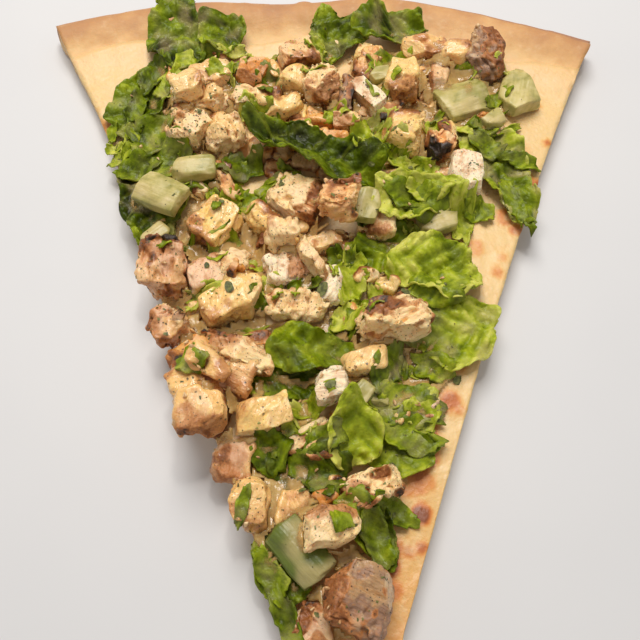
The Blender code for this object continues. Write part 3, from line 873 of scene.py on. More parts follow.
def make_rib(bm, cuts, turn, paleness, seed):
    """Cuts and ridges a rib, and stores the way its ridges run, its paleness and its dressing."""
    press_flat(bm, cuts, passes=1)
    fibre = heading(math.radians(turn))
    threads = bm.verts.layers.float_vector.new("threads")
    wet, pale = new_marks(bm, "wet", "pale")
    moves = []
    for point in bm.verts:
        drawn = point.co - 0.92 * point.co.dot(fibre) * fibre
        ridges = 0.3 * ripple(drawn, 2.6, seed) + 0.4 * ripple(point.co, 5, seed + 1)
        moves.append(point.normal * ridges * MM)
        point[threads] = drawn / MM
        point[wet] = 0.8 * step_up(0.0, 0.5, ripple(point.co, 7, seed + 2))
        point[pale] = paleness + 0.3 * ripple(point.co, 8, seed + 3)
    move_all(bm, moves)


KITE = 3  # the large rib by the rim
KITE_MIDDLE = (65.8, 198.0, 10)
KITE_SIDES = ((14, 6.2), (134, 6.8), (206, 6.6), (298, 7.4))  # degrees from across, mm out


def cut_to_kite(bm):
    """Cuts the rib along four sides, and closes each cut."""
    for angle, reach in KITE_SIDES:
        facing = heading(math.radians(angle), 0.15).normalized()
        corner = on_slice(*KITE_MIDDLE) + reach * MM * facing
        whole = bm.verts[:] + bm.edges[:] + bm.faces[:]
        cut = bmesh.ops.bisect_plane(
            bm, geom=whole, plane_co=corner, plane_no=facing, clear_outer=True
        )["geom_cut"]
        bmesh.ops.edgeloop_fill(bm, edges=[edge for edge in cut if isinstance(edge, bmesh.types.BMEdge)])
    bmesh.ops.recalc_face_normals(bm, faces=bm.faces)


RIBS = {1: (-30, 0.85), 2: (20, 0.75), 3: (75, 1.0), 4: (80, 0.9), 5: (-50, -0.2)}  # turn, paleness
pale_finish = rib_finish()
for number, (turn, paleness) in RIBS.items():
    node = f"romaine_rib_{number:02d}"
    rib_bm = merged_copy(node)
    if number == KITE:
        cut_to_kite(rib_bm)
    rib_bm = subdivided(rib_bm, 3, crease_over=35)
    make_rib(rib_bm, knife_cuts(random.Random(number))[:1], turn, paleness, number)
    add_piece(f"pale_rib_{number:02d}", rib_bm, pale_finish, "romaine_rib", node)
print("ribs:", len(RIBS))

# %% [markdown]
# ## How high the slice stands
#
# Small things lie on large ones, so the dressed slice is measured first: rays fall on every
# cell of a half-millimetre grid, and each cell keeps its highest hit and whose it was. Small
# pieces are then laid on that ground, one after another, and flakes tilt with its slope.

# %% How high the slice stands
CELL = 0.5 * MM
MARGIN = 4 * MM  # how far the grid reaches past the slice
BARE = 3  # millimetres: what is lower lies beside the slice
RAY_START = 0.1  # metres up, well above the pile


class Ground:
    """The height of the slice's upper side over a grid, and the piece that lies on top."""

    def __init__(self):
        self.low = np.array([cad_box[0][0] - MARGIN, cad_box[0][1] - MARGIN])
        high = np.array([cad_box[1][0] + MARGIN, cad_box[1][1] + MARGIN])
        self.cells = np.ceil((high - self.low) / CELL).astype(int)
        self.top = np.full(tuple(self.cells), -1.0)
        self.owner = np.full(tuple(self.cells), "", dtype=object)

    def cell(self, place):
        """The cell that holds a place, two or more in from the grid's edge."""
        i, j = ((np.array(place[:2]) - self.low) / CELL).astype(int)
        return min(max(i, 2), self.cells[0] - 3), min(max(j, 2), self.cells[1] - 3)

    def add(self, piece):
        """Drops a ray on each cell under the piece, and keeps what stands higher."""
        seen = bpy.context.evaluated_depsgraph_get()
        tree = BVHTree.FromObject(piece, seen)
        corners = np.array([corner[:2] for corner in piece.bound_box])
        first, last = self.cell(corners.min(0)), self.cell(corners.max(0))
        down = Vector((0, 0, -1))
        for i in range(first[0], last[0] + 1):
            x = self.low[0] + (i + 0.5) * CELL
            for j in range(first[1], last[1] + 1):
                y = self.low[1] + (j + 0.5) * CELL
                hit = tree.ray_cast(Vector((x, y, RAY_START)), down)[0]
                if hit and hit.z > self.top[i, j]:
                    self.top[i, j] = hit.z
                    self.owner[i, j] = piece.name

    def height(self, place):
        return max(0.0, self.top[self.cell(place)])

    def slope(self, place):
        """The upward normal of the ground, smoothed over five cells each way."""
        i, j = self.cell(place)
        patch = self.top[i - 2 : i + 3, j - 2 : j + 3]
        rise_x = (patch[4].mean() - patch[0].mean()) / (4 * CELL)
        rise_y = (patch[:, 4].mean() - patch[:, 0].mean()) / (4 * CELL)
        return Vector((-rise_x, -rise_y, 1)).normalized()

    def smooth(self, radius):
        """The ground averaged over a square of this half side in millimetres, twice."""
        reach = max(1, round(radius * MM / CELL))
        known = (self.top > 0).astype(float)
        total = np.where(self.top > 0, self.top, 0)
        for _ in range(2):
            for axis in (0, 1):
                total = box_sum(total, reach, axis)
                known = box_sum(known, reach, axis)
        return np.where(known > 0, total / np.maximum(known, 1e-9), BARE * MM)


def box_sum(grid, reach, axis):
    """Each cell's sum with its neighbours on both sides along one axis."""
    pads = [(0, 0), (0, 0)]
    pads[axis] = (reach + 1, reach)
    running = np.cumsum(np.pad(grid, pads), axis=axis)
    ahead = np.take(running, range(2 * reach + 1, running.shape[axis]), axis=axis)
    behind = np.take(running, range(0, running.shape[axis] - 2 * reach - 1), axis=axis)
    return ahead - behind


ARCHED = ("torn_leaf_17", "torn_leaf_18", "torn_leaf_19")
ground, roof = Ground(), Ground()
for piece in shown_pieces():
    (roof if piece.name in ARCHED else ground).add(piece)
print("the pile stands", round(ground.top.max() / MM, 1), "mm high")

# %% [markdown]
# ## Where the topping lies
#
# The topping covers the slice apart from the rim and a strip along the right cut. Its outline
# is a polygon, and a place is inside where a line from it crosses the outline an odd number of
# times.

# %% Where the topping lies
TOPPING_EDGE = (
    (-60, 232), (-34, 230), (-29, 222), (-20, 228), (-7, 219), (3, 234), (34, 230), (42, 221),
    (54, 222), (62, 212), (68, 196), (60, 160), (38, 147), (42, 122), (34, 98), (26, 90), (19, 76),
    (13, 63), (6, 51), (6, 32), (-2, 20), (-12, 32), (-20, 46), (-31, 74), (-43, 96), (-49, 118),
    (-60, 148), (-73, 190),
)
DRAWN_ACROSS, DRAWN_ALONG = (-75, 76), (18, 245)  # a box that holds the outline
HEAD_ROOM = 8 * MM


def in_topping(across, along):
    """True inside the outline."""
    inside = False
    for (x1, y1), (x2, y2) in zip(TOPPING_EDGE, TOPPING_EDGE[1:] + TOPPING_EDGE[:1]):
        if (y1 > along) != (y2 > along) and across < x1 + (along - y1) / (y2 - y1) * (x2 - x1):
            inside = not inside
    return inside


def fallen(draw):
    """A seeded place somewhere on the topping."""
    while True:
        across, along = draw.uniform(*DRAWN_ACROSS), draw.uniform(*DRAWN_ALONG)
        if in_topping(across, along):
            return across, along


def has_room(across, along):
    """False where an arched leaf hangs too low over a place."""
    place = on_slice(across, along)
    return not 0 < roof.height(place) < ground.height(place) + HEAD_ROOM


print("corners of the topping's outline:", len(TOPPING_EDGE))

# %% [markdown]
# ## Small pieces of chicken
#
# Between the chunks lie smaller ones and slivers. Those that show are listed one by one, and the
# gaps are filled by seeded draws. Each starts as a cube, split fine and rounded, and lies on
# the ground at the middle height of the cells under it. All are joined in one piece.

# %% Small pieces of chicken
# across, along, turn, length, width, height, then flesh, grilled side, darkness, spots, dressing, torn
SMALL_CHICKEN = (
    (17, 149, 80, 13, 8, 9, "cream", 180, 0.7, 0.2, 0.1, 0.5),
    (-1, 126, 85, 13, 8, 9, "white", 0, 0.1, 0.1, 0.1, 0.5),
    (-36, 130, 20, 13, 11, 9, "pink", 90, 0.3, 0.3, 0.1, 0.6),
    (-35, 85, 0, 13, 11, 8, "tan", -90, 0.6, 0.5, 0.6, 0.8),
    (-22, 197, 0, 16, 9, 9, "cream", 20, 0.7, 0.5, 0.6, 0.8),
    # a dark piece in the hollow under the arched leaf: chicken, darkened to stand for the shade there
    (-12, 164, 20, 11, 8, 5, "tan", 90, 1.0, 0.6, 0.4, 0.8),
    (-27, 97, 70, 14, 10, 9, "rosy", -90, 0.3, 0.5, 0.5, 1.0),
    (-9, 80, 35, 15, 6, 7, "cream", -60, 0.5, 0.4, 0.2, 0.8),
    (-29, 134, 10, 11, 8, 8, "cream", 180, 0.2, 0.2, 0.3, 0.6),
    (-24, 103, -20, 14, 7, 8, "cream", 90, 0.3, 0.6, 0.3, 1.0),
    (-27, 75, 80, 12, 10, 8, "rosy", -90, 0.5, 0.6, 0.5, 0.8),
    (-5, 76, 0, 7, 6, 6, "amber", -90, 0.8, 0.3, 0.4, 0.4),
    (8, 100, 10, 12, 6, 6, "cream", 90, 0.2, 0.2, 0.8, 0.4),
    (-21, 109, 0, 8, 6, 7, "amber", 90, 0.7, 0.5, 0.3, 0.5),
    (40, 205, 85, 14, 7, 9, "pink", 180, 0.4, 0.5, 0.3, 0.8),
    (-44, 197, 15, 10, 7, 8, "cream", 0, 0.2, 0.2, 0.9, 0.8),
    (7, 187, 10, 9, 6, 7, "cream", -90, 0.4, 0.3, 0.3, 0.7),
    (-32, 164, -50, 15, 5, 6, "tan", 90, 0.4, 0.4, 0.2, 1.0),
    (-12, 62, 80, 10, 8, 6, "tan", 0, 0.2, 0.2, 0.7, 0.5),
    (-4, 65, 40, 6, 4, 5, "amber", 90, 0.9, 0.6, 0.2, 0.8),
    (-6, 132, -60, 14, 4, 8, "cream", 0, 0.3, 0.2, 0.2, 0.8),
    (8, 197, 80, 15, 4, 9, "dull", 0, 1.5, 0.9, 0.1, 0.9),
    (22, 190, 85, 8, 7, 8, "tan", -90, 1.4, 0.8, 0.1, 0.9),
    (-14, 194, 20, 12, 7, 8, "yellow", 90, 0.3, 0.3, 0.6, 0.7),
    (-9, 204, -20, 10, 8, 10, "yellow", 0, 0.2, 0.2, 0.7, 0.5),
    (-2, 140, 20, 10, 7, 8, "cream", 0, 0.3, 0.4, 0.3, 0.8),
    (-14, 139, 0, 9, 7, 8, "cream", 120, 0.4, 0.3, 0.3, 0.8),
    (-40, 104, 30, 12, 8, 8, "amber", -120, 0.7, 0.6, 0.4, 0.9),
    (-33, 98, -30, 12, 6, 7, "tan", 0, 0.3, 0.4, 0.5, 0.9),
    (-20, 176, 0, 9, 7, 8, "tan", 0, 0.5, 0.5, 0.4, 0.8),
    (45, 213, 0, 12, 8, 8, "tan", 90, 0.5, 0.5, 0.6, 0.7),
    (-44, 189, -40, 12, 8, 8, "cream", 90, 0.5, 0.6, 0.2, 1.0),
    # dark pieces in the hollow under the arched leaf: chicken, made dark as painted shade for the shadow
    # there
    (-3, 161, -30, 11, 7, 5, "tan", 90, 1.0, 0.6, 0.4, 0.8),
    (-11, 178, 30, 10, 7, 4, "amber", 90, 0.9, 0.8, 0.4, 0.8),
    (-5, 173, -20, 10, 7, 4, "tan", 90, 1.2, 0.8, 0.4, 0.8),
    (1, 168, 10, 9, 7, 4, "amber", 90, 0.9, 0.8, 0.4, 0.8),
    (-16, 171, 50, 9, 7, 4, "tan", 90, 1.1, 0.8, 0.4, 0.8),
)
RANDOM_CHICKEN = 60
CLEAR_STRIP = (26, 150)  # right of the first and below the second, the cheese stays bare


def scaled(sizes):
    """A matrix that makes a unit shape this many millimetres each way."""
    return Matrix.Diagonal((*(size * MM for size in sizes), 1))


def ground_under(across, along, reach):
    """The middle height, in millimetres, of the cells within reach of a place."""
    i, j = ground.cell(on_slice(across, along))
    span = max(1, round(reach * MM / CELL))
    patch = ground.top[max(0, i - span) : i + span + 1, max(0, j - span) : j + span + 1]
    return np.median(np.maximum(patch, 0)) / MM


def top_piece(across, along):
    """The name of the piece that lies on top at a place."""
    return ground.owner[ground.cell(on_slice(across, along))]


def in_gap(across, along, highest):
    """True where the pile is up to this many millimetres high and no leaf lies or hangs low."""
    low = BARE < ground_under(across, along, 2) < highest
    return low and not top_piece(across, along).startswith("torn_leaf") and has_room(across, along)


def soft_box(across, along, turn, length, width, height, raised, lean=(0, 0)):
    """A cube, split and rounded, its middle this share of its height above the ground."""
    middle = ground_under(across, along, width * 0.4) + height * raised
    matrix = Matrix.Translation(on_slice(across, along, middle))
    for angle, axis in zip((*lean, turn), "XYZ"):
        matrix = matrix @ Matrix.Rotation(math.radians(angle), 4, axis)
    bm = bmesh.new()
    bmesh.ops.create_cube(bm, size=1, matrix=matrix @ scaled((length, width, height)))
    bmesh.ops.subdivide_edges(bm, edges=bm.edges, cuts=2, use_grid_fill=True)
    return subdivided(bm, 2)


def small_chunk(row, look, seed, lean=(0, 0)):
    """A chunk from its row of place, turn and sizes, sunk a little into the ground."""
    bm = soft_box(*row, 0.36, lean)
    make_meat(bm, look, seed)
    return bm


def join(parts):
    """One bmesh from several, which may carry the same marks."""
    whole = bmesh.new()
    for part in parts:
        mesh = as_mesh("part", part)
        whole.from_mesh(mesh)
        bpy.data.meshes.remove(mesh)
    return whole


draw = random.Random(11)
small_parts = []
for number, row in enumerate(SMALL_CHICKEN):
    small_parts.append(small_chunk(row[:6], row[6:], 50 + number * 1.3))
for number in range(RANDOM_CHICKEN):
    across, along = fallen(draw)
    while not in_gap(across, along, 9) or (across > CLEAR_STRIP[0] and along < CLEAR_STRIP[1]):
        across, along = fallen(draw)
    length = draw.uniform(4, 9)
    sizes = (length, length * draw.uniform(0.4, 0.9), draw.uniform(3, 6))
    look = (
        draw.choice(("cream", "tan", "tan", "yellow", "pink", "amber")), draw.uniform(0, 360),
        draw.uniform(0.2, 1.0), draw.uniform(0.1, 0.7), draw.uniform(0, 0.8), draw.uniform(0.4, 1.0),
    )
    lean = (draw.uniform(-20, 20), draw.uniform(-20, 20))
    row = (across, along, draw.uniform(0, 180), *sizes)
    small_parts.append(small_chunk(row, look, 120 + number * 1.1, lean))
small_piece = add_piece("small_chicken", join(small_parts), meat_finish, "grilled_chicken")
ground.add(small_piece)
print("small chicken:", len(small_parts), "pieces,", len(small_piece.data.polygons), "faces")

# %% [markdown]
# ## Chopped lettuce
#
# Between and on the chunks lie shreds and curls of leaf. Each is a small grid, rounded into a
# torn outline, bent over the smoothed ground and ruffled. Those that show are listed one by one.

# %% Chopped lettuce
# across, along, turn, length, width, brightness, dressing, curl
SHREDS = (
    (-56, 183, 60, 18, 14, 0.45, 0.5, 3), (20, 201, 70, 14, 10, 0.6, 0.5, 2),
    (23, 212, 10, 16, 10, 0.55, 0.6, 3), (63, 169, -15, 14, 6, 0.5, 0.1, 4),
    (12, 180, 80, 13, 8, 0.8, 0.1, 4), (24, 156, 0, 16, 14, 0.35, 0.1, 3),
    (6, 129, 80, 20, 10, 0.85, 0.2, 4), (-8, 124, 10, 9, 5, 0.25, 0.1, 2),
    (27, 99, -10, 12, 8, 0.6, 0.4, 3), (4, 115, 20, 10, 8, 0.85, 0.0, 3),
    (18, 88, 0, 22, 14, 0.45, 0.8, 3), (23, 87, 40, 12, 10, 0.9, 0.1, 4),
    (-18, 76, 0, 11, 10, 0.3, 0.0, 3), (-3, 71, 60, 14, 10, 0.2, 0.1, 3),
    (13, 60, -25, 14, 5, 0.45, 0.1, 3), (-14, 36, -70, 16, 6, 0.35, 0.3, 3),
    (42, 148, 80, 16, 8, 0.8, 0.2, 4), (47, 151, 0, 9, 8, 0.6, 0.1, 3),
    (-34, 208, 20, 9, 7, 0.75, 0.2, 3), (-47, 212, 80, 14, 7, 0.75, 0.3, 3),
    (-27, 170, 0, 14, 9, 0.3, 0.5, 3), (-24.5, 62, 75, 10, 3, 0.3, 0.4, 1),
    (58, 152, -74, 20, 5, 0.4, 0.1, 2), (-60, 170, 30, 14, 8, 0.4, 0.2, 4),
    (16, 178, 30, 12, 8, 0.9, 0.1, 4), (-50, 173, 0, 14, 12, 0.4, 0.3, 3),
    (31, 156, -10, 13, 8, 0.9, 0.1, 4), (53, 184, 30, 11, 8, 0.4, 0.4, 3),
    (52, 176, -30, 14, 8, 0.4, 0.4, 3), (31, 150, 10, 16, 9, 0.45, 0.2, 3),
    (-4, 78, 20, 12, 8, 0.35, 0.4, 3), (14, 98, 60, 14, 8, 0.3, 0.6, 3),
    (19, 80, -10, 17, 10, 0.5, 0.3, 3), (4, 190, 10, 9, 6, 0.8, 0.1, 2),
    (3, 135, 0, 9, 6, 0.3, 0.1, 2), (-38, 100, 0, 9, 8, 0.6, 0.5, 2),
    (2, 60, 60, 12, 8, 0.5, 0.2, 3), (8, 54, -65, 14, 8, 0.35, 0.2, 3),
    (-6, 70, -40, 16, 8, 0.25, 0.4, 2), (-52, 205, 60, 14, 8, 0.8, 0.7, 3),
    (-18, 46, -60, 14, 6, 0.6, 0.3, 2), (23, 168.5, 0, 13, 5, 0.85, 0.1, 2),
    (31, 168, -10, 12, 5, 0.85, 0.1, 2), (30, 122, 10, 20, 11, 0.6, 0.2, 3),
    (-63, 196, 80, 14, 7, 0.25, 0.2, 3), (-58, 210, 60, 16, 9, 0.3, 0.2, 3),
)
RANDOM_SHREDS = 120
SHRED_COLUMNS, SHRED_ROWS = 12, 9
DRAPE_REACH = 1.6  # millimetres: shreds bridge what is narrower
SHRED_THICKNESS = 0.4 * MM
HIGHEST = cad_box[1][2]  # no shred stands above the solids


def small_leaf(bm, across, along, turn, length, width, bright, dressing, curl, seed, drape):
    """Adds one shred to the bmesh: a torn outline, bent over the ground and creased."""
    marks = bm.verts.layers
    sheet = bmesh.ops.create_grid(bm, x_segments=SHRED_COLUMNS, y_segments=SHRED_ROWS, size=1)["verts"]
    around = Matrix.Rotation(math.radians(turn), 2)
    centre = on_slice(across, along).xy
    drift = Vector((0, 0, seed))
    for point in sheet:
        u, v = point.co.x, point.co.y
        x, y = u * math.sqrt(1 - v * v / 2), v * math.sqrt(1 - u * u / 2)
        angle, out = math.atan2(y, x), math.hypot(x, y)
        ring = heading(angle)
        torn = 0.4 * noise.noise(1.6 * ring + drift) + 0.25 * noise.noise(4.5 * ring + drift)
        reach = 0.5 * (1 + torn * out ** 3)
        bow = 0.25 * math.sin(seed) * (x * x - 0.4)
        spot = centre + around @ Vector((x * length, (y + bow) * width)) * (reach * MM)
        i, j = ground.cell(spot)
        place = Vector((*spot, drape[i, j]))
        frill = 0.5 + 0.5 * math.sin(3.5 * angle + seed)
        vein, swollen = veins_at(x * length / 2, y * width / 2, 3.5, 0.3 * ripple(place, 6, seed))
        rise = 0.4 + 0.6 * curl * out * out * frill + 0.9 * ripple(place, 4.2, seed) * out
        rise += 0.5 * crease(place, 7, seed + 1) + 0.35 * swollen
        place.z = min(place.z + rise * MM, HIGHEST)
        point.co = place
        # The shred's swelling, which the finish paints as highlight on its tops and shade in its hollows.
        point[marks.float["puckered"]] = swollen
        point[marks.float["veined"]] = 0.7 * vein
        point[marks.float["green"]] = bright + 0.3 * ripple(place, 6, seed) + 0.1 * out
        point[marks.float["wet"]] = dressing * step_up(-0.2, 0.4, ripple(place, 5, seed + 2))


draw = random.Random(5)
shred_bm, curl_bm = bmesh.new(), bmesh.new()
for bm in (shred_bm, curl_bm):
    new_marks(bm, *LEAF_MARKS)
drape = ground.smooth(DRAPE_REACH)
for number in range(RANDOM_SHREDS):
    across, along = fallen(draw)
    while not in_gap(across, along, 10):
        across, along = fallen(draw)
    length = draw.uniform(5, 13)
    bright = draw.choice((0.3, 0.45, 0.6, 0.75, 0.95))
    small_leaf(
        shred_bm, across, along, draw.uniform(0, 180), length, length * draw.uniform(0.25, 0.7),
        bright, draw.uniform(0, 0.7), draw.uniform(1, 3), number * 0.9, drape,
    )
low_shreds = add_piece("lettuce_shreds", shred_bm, green_finish, "romaine_leaf")
give_thickness(low_shreds, SHRED_THICKNESS)
ground.add(low_shreds)
for name in ARCHED:
    ground.add(bpy.data.objects[name])
drape = ground.smooth(DRAPE_REACH)
for number, shred in enumerate(SHREDS):
    small_leaf(curl_bm, *shred, 300 + number * 1.9, drape)
curls = add_piece("lettuce_curls", curl_bm, green_finish, "romaine_leaf")
give_thickness(curls, LEAF_THICKNESS)
ground.add(curls)
print("shreds:", RANDOM_SHREDS + len(SHREDS))

# %% [markdown]
# ## Chopped ribs
#
# Small pale lumps of leaf rib, cut as cubes and rounded like the chicken but glassy.

# %% Chopped ribs
SMALL_RIBS = (  # across, along, turn, length, width, height
    (-42, 168, 5, 14, 8, 5), (34, 147, 20, 13, 8, 4), (11, 150, 70, 12, 9, 4),
    (56, 186, 30, 9, 6, 4), (20, 206, 10, 8, 6, 4), (-53, 145, 40, 9, 6, 4), (6, 91, 50, 8, 6, 4),
)
rib_parts = []
for seed, row in enumerate(SMALL_RIBS, start=20):
    lump = soft_box(*row, 0.3)
    make_rib(lump, knife_cuts(random.Random(seed)), row[2], 0.8, seed)
    rib_parts.append(lump)
small_ribs = add_piece("small_ribs", join(rib_parts), pale_finish, "romaine_rib")
ground.add(small_ribs)
print("small ribs:", len(SMALL_RIBS))

# %% [markdown]
# ## The dressing
#
# Caesar dressing runs off the tops and pools in the hollows; what sticks to the tops is painted
# on them by their own finishes. The ground, averaged over a few millimetres, is a good model of
# a pool: it lies above the hollows and below the tops. A grid is laid at that height, lower
# where the photograph shows less dressing, and what would be buried or steep is deleted. Its
# depth is stored, so thin dressing is see-through.

# %% The dressing
POOLS = (  # across, along, reach across, reach along, how full 0 to 1
    (42, 207, 24, 26, 1.0), (-45, 200, 22, 20, 0.8), (26, 90, 18, 14, 0.9), (-24, 82, 16, 30, 0.7),
    (-14, 60, 14, 18, 0.85), (6, 205, 16, 18, 0.7), (-26, 140, 26, 24, 0.6), (8, 150, 20, 16, 0.5),
    (-40, 110, 16, 24, 0.6), (4, 108, 16, 14, 0.6), (-55, 165, 14, 20, 0.5), (-2, 45, 12, 14, 0.5),
    (30, 180, 14, 20, 0.6), (14, 90, 14, 14, 0.6),
)
POOL_CELL = 0.8 * MM
DEEPEST_POOL = 3.0 * MM
POOL_THICKNESS = 0.25 * MM
BURIED, DRY = -1.2, -0.6  # depths in millimetres: a corner that deep under, a face that dry, goes
ARCH_REACH = 6  # cells from an arched leaf that stay without dressing


def how_full(across, along):
    """How much dressing the photograph shows at a place: a fifth where no pool is listed."""
    most = 0.2
    for x, y, reach_x, reach_y, full in POOLS:
        most = max(most, full * math.exp(-(((across - x) / reach_x) ** 2) - ((along - y) / reach_y) ** 2))
    return most


def shape_dressing():
    pool_level, hollow = ground.smooth(2.6), ground.smooth(1.5)
    bm = bmesh.new()
    width, length = cad_box[1][0] - cad_box[0][0], cad_box[1][1] - cad_box[0][1]
    columns, rows = round(width / POOL_CELL), round(length / POOL_CELL)
    bmesh.ops.create_grid(bm, x_segments=columns, y_segments=rows, size=0.5)
    (depth_mark,) = new_marks(bm, "depth")
    middle = [(low + high) / 2 for low, high in zip(*cad_box)]
    dry = []
    for point in bm.verts:
        x, y = point.co.x * width + middle[0], point.co.y * length + middle[1]
        i, j = ground.cell((x, y))
        across, along = x / MM, (y + POINT_TO_ORIGIN) / MM
        full = how_full(across, along) + 0.3 * ripple((x, y, 0), 9, 4)
        level = pool_level[i, j] + (0.7 - 3.0 * (1 - full)) * MM + 0.2 * ripple((x, y, 0), 4, 6) * MM
        level = min(level, hollow[i, j] + DEEPEST_POOL)
        depth = (level - ground.top[i, j]) / MM
        point.co = (x, y, level)
        point[depth_mark] = depth
        span = slice(i - ARCH_REACH, i + ARCH_REACH + 1), slice(j - ARCH_REACH, j + ARCH_REACH + 1)
        arched = roof.top[span].max() > 0
        bare = ground.top[i, j] < BARE * MM or not in_topping(across, along)
        if arched or bare or depth < BURIED or full < 0.1:
            dry.append(point)
    bmesh.ops.delete(bm, geom=dry, context="VERTS")
    bm.normal_update()
    for point in bm.verts:
        point[depth_mark] -= 3 * step_up(0.85, 0.55, point.normal.z)
    shallow = [face for face in bm.faces if max(point[depth_mark] for point in face.verts) < DRY]
    bmesh.ops.delete(bm, geom=shallow, context="FACES")
    loose = [point for point in bm.verts if not point.link_faces]
    bmesh.ops.delete(bm, geom=loose, context="VERTS")
    return bm


def dressing_finish():
    dressing = Finish("caesar_dressing", **lit_through(0.4, (1.0, 0.7, 0.4), 1.2), Specular_IOR_Level=0.55)
    cloud = dressing.grain(5, 3)
    colour = dressing.ramp(
        (cloud + dressing.uneven(1.2, 3, 0.3)).clamped(),
        (0.25, paint(176, 138, 80)),
        (0.5, paint(204, 164, 100)),
        (0.75, paint(226, 190, 128)),
    )
    cover = dressing.between(dressing.mark("depth") + (cloud - 0.5) * 1.6, -0.1, 1.5) * 0.8
    skin = dressing.relief(dressing.grain(2.5, 2), 0.45)
    dressing.lay(Base_Color=colour, Roughness=0.14 + (cloud - 0.5) * 0.2, Alpha=cover, Normal=skin)
    return dressing


pool_bm = shape_dressing()
print("dressing:", len(pool_bm.faces), "faces")
dressing_piece = add_piece("dressing", pool_bm, dressing_finish(), "melted_cheese")
give_thickness(dressing_piece, POOL_THICKNESS)

# %% [markdown]
# ## Herbs, pepper and crumbs
#
# Dried herb flakes and cracked pepper stick to the chicken, more on some chunks than others,
# and crumbs of chicken lie everywhere but on leaves and ribs. A flake is a small flat box, tilted
# to the ground, with 6 faces. A splinter of pepper is a rough ball of 20 faces, and a crumb or a
# large flake has 80.

# %% Herbs, pepper and crumbs
HERBY = {  # chunk number: how many flakes, and as many splinters
    8: 40, 9: 20, 30: 26, 16: 18, 20: 14, 24: 14, 25: 12, 12: 8, 15: 6, 21: 3, 26: 8, 31: 12, 34: 14,
    28: 2, 32: 8, 7: 12, 10: 8, 3: 8, 17: 10, 22: 5, 23: 8, 19: 8, 29: 4, 27: 8, 6: 8, 13: 4,
}
GREEN_FLAKES = (  # across, along, length, width: the large ones that lie on the chunks
    (-29, 122, 4.0, 2.6), (-2, 91, 3.2, 2.2), (-36, 131, 2.0, 1.4), (-14, 158, 2.4, 1.2),
    (-32, 152, 2.0, 1.4), (2, 153, 2.0, 2.0), (-10, 66, 2.4, 1.6), (13, 60, 2.2, 1.2),
    (-42, 115, 3.0, 2.0), (20, 118, 2.4, 3.0), (-3, 122, 5.0, 3.0), (34, 96, 4.0, 2.6),
    (14, 166, 2.6, 1.6), (-40, 186, 2.0, 1.2), (27, 168, 1.6, 1.2),
)


def plain_finish(name, dark, light, rough):
    """Two paints mixed by a fine noise, on a slightly uneven skin."""
    made = Finish(name)
    colour = made.blend(paint(*dark), paint(*light), made.between(made.grain(1.2, 2), 0.35, 0.65))
    skin = made.relief(made.grain(0.5, 2), 0.1)
    made.lay(Base_Color=colour, Roughness=rough + made.uneven(0.8, 2, 0.3), Normal=skin)
    return made


def lying(place, height, turn, sizes):
    """A matrix that lays a unit shape on the ground at a place, turned and scaled."""
    tilt = Vector((0, 0, 1)).rotation_difference(ground.slope(place)).to_matrix().to_4x4()
    spot = Matrix.Translation((place[0], place[1], ground.height(place) + height * MM))
    return spot @ tilt @ Matrix.Rotation(turn, 4, "Z") @ scaled(sizes)


def crumple(bm, lengths, depth):
    """Moves each corner by three noises, one each way, this many millimetres at most."""
    for point in bm.verts:
        sway = [ripple(point.co, length, seed) for length, seed in zip(lengths, (0, 4, 8))]
        point.co += Vector(sway) * depth * MM


def on_piece(name, draw):
    """A seeded place where this piece lies on top, or None where it is hidden all over."""
    cells = np.argwhere(ground.owner == name)
    if not len(cells):
        return None
    i, j = cells[draw.randrange(len(cells))]
    return ground.low + (np.array([i, j]) + (draw.random(), draw.random())) * CELL


def on_food(place):
    """True for a place on the slice, and False for one beside it or for none."""
    return place is not None and ground.height(place) > BARE * MM


STRAY_FLAKES, STRAY_SPLINTERS, CRUMBS = 330, 200, 100
TURNS = (0, 6.3)
draw = random.Random(3)
herb_bm, pepper_bm, crumb_bm = bmesh.new(), bmesh.new(), bmesh.new()
herb_places, pepper_places = [], []
for number, count in HERBY.items():
    for _ in range(count):
        for places in (herb_places, pepper_places):
            places.append(on_piece(f"diced_chicken_{number:02d}", draw))
for places, count in ((herb_places, STRAY_FLAKES), (pepper_places, STRAY_SPLINTERS)):
    places.extend(on_slice(*fallen(draw)) for _ in range(count))
for place in herb_places:
    if on_food(place):
        long = 0.3 + 0.9 * draw.random() ** 2
        sizes = (long, long * draw.uniform(0.3, 0.8), 0.12)
        bmesh.ops.create_cube(herb_bm, size=1, matrix=lying(place, 0.05, draw.uniform(*TURNS), sizes))
for across, along, length, width in GREEN_FLAKES:
    flake = lying(on_slice(across, along), 0.2, draw.uniform(*TURNS), (length, width, 0.25))
    bmesh.ops.create_icosphere(herb_bm, subdivisions=2, radius=0.5, matrix=flake)
for place in pepper_places:
    if on_food(place):
        sizes = [draw.uniform(0.2, 0.42) for _ in range(3)]
        splinter = lying(place, 0.1, draw.uniform(*TURNS), sizes)
        bmesh.ops.create_icosphere(pepper_bm, subdivisions=1, radius=0.5, matrix=splinter)
for _ in range(CRUMBS):
    across, along = fallen(draw)
    while (
        top_piece(across, along).startswith("torn_leaf") or "rib" in top_piece(across, along)
        or not on_food(on_slice(across, along))
    ):
        across, along = fallen(draw)
    sizes = [draw.uniform(0.4, 1.6) for _ in range(3)]
    crumb = lying(on_slice(across, along), 0.3, draw.uniform(*TURNS), sizes)
    bmesh.ops.create_icosphere(crumb_bm, subdivisions=2, radius=0.5, matrix=crumb)
crumple(herb_bm, (0.9, 0.9, 1.4), 0.3)
crumple(crumb_bm, (1.2, 1.2, 1.2), 0.5)
crumb_finish = plain_finish("chicken_crumb", (190, 140, 88), (240, 206, 156), 0.5)
herb_finish = plain_finish("dried_herb", (70, 74, 30), (122, 124, 62), 0.6)
pepper_finish = plain_finish("cracked_pepper", (52, 42, 30), (104, 80, 54), 0.5)
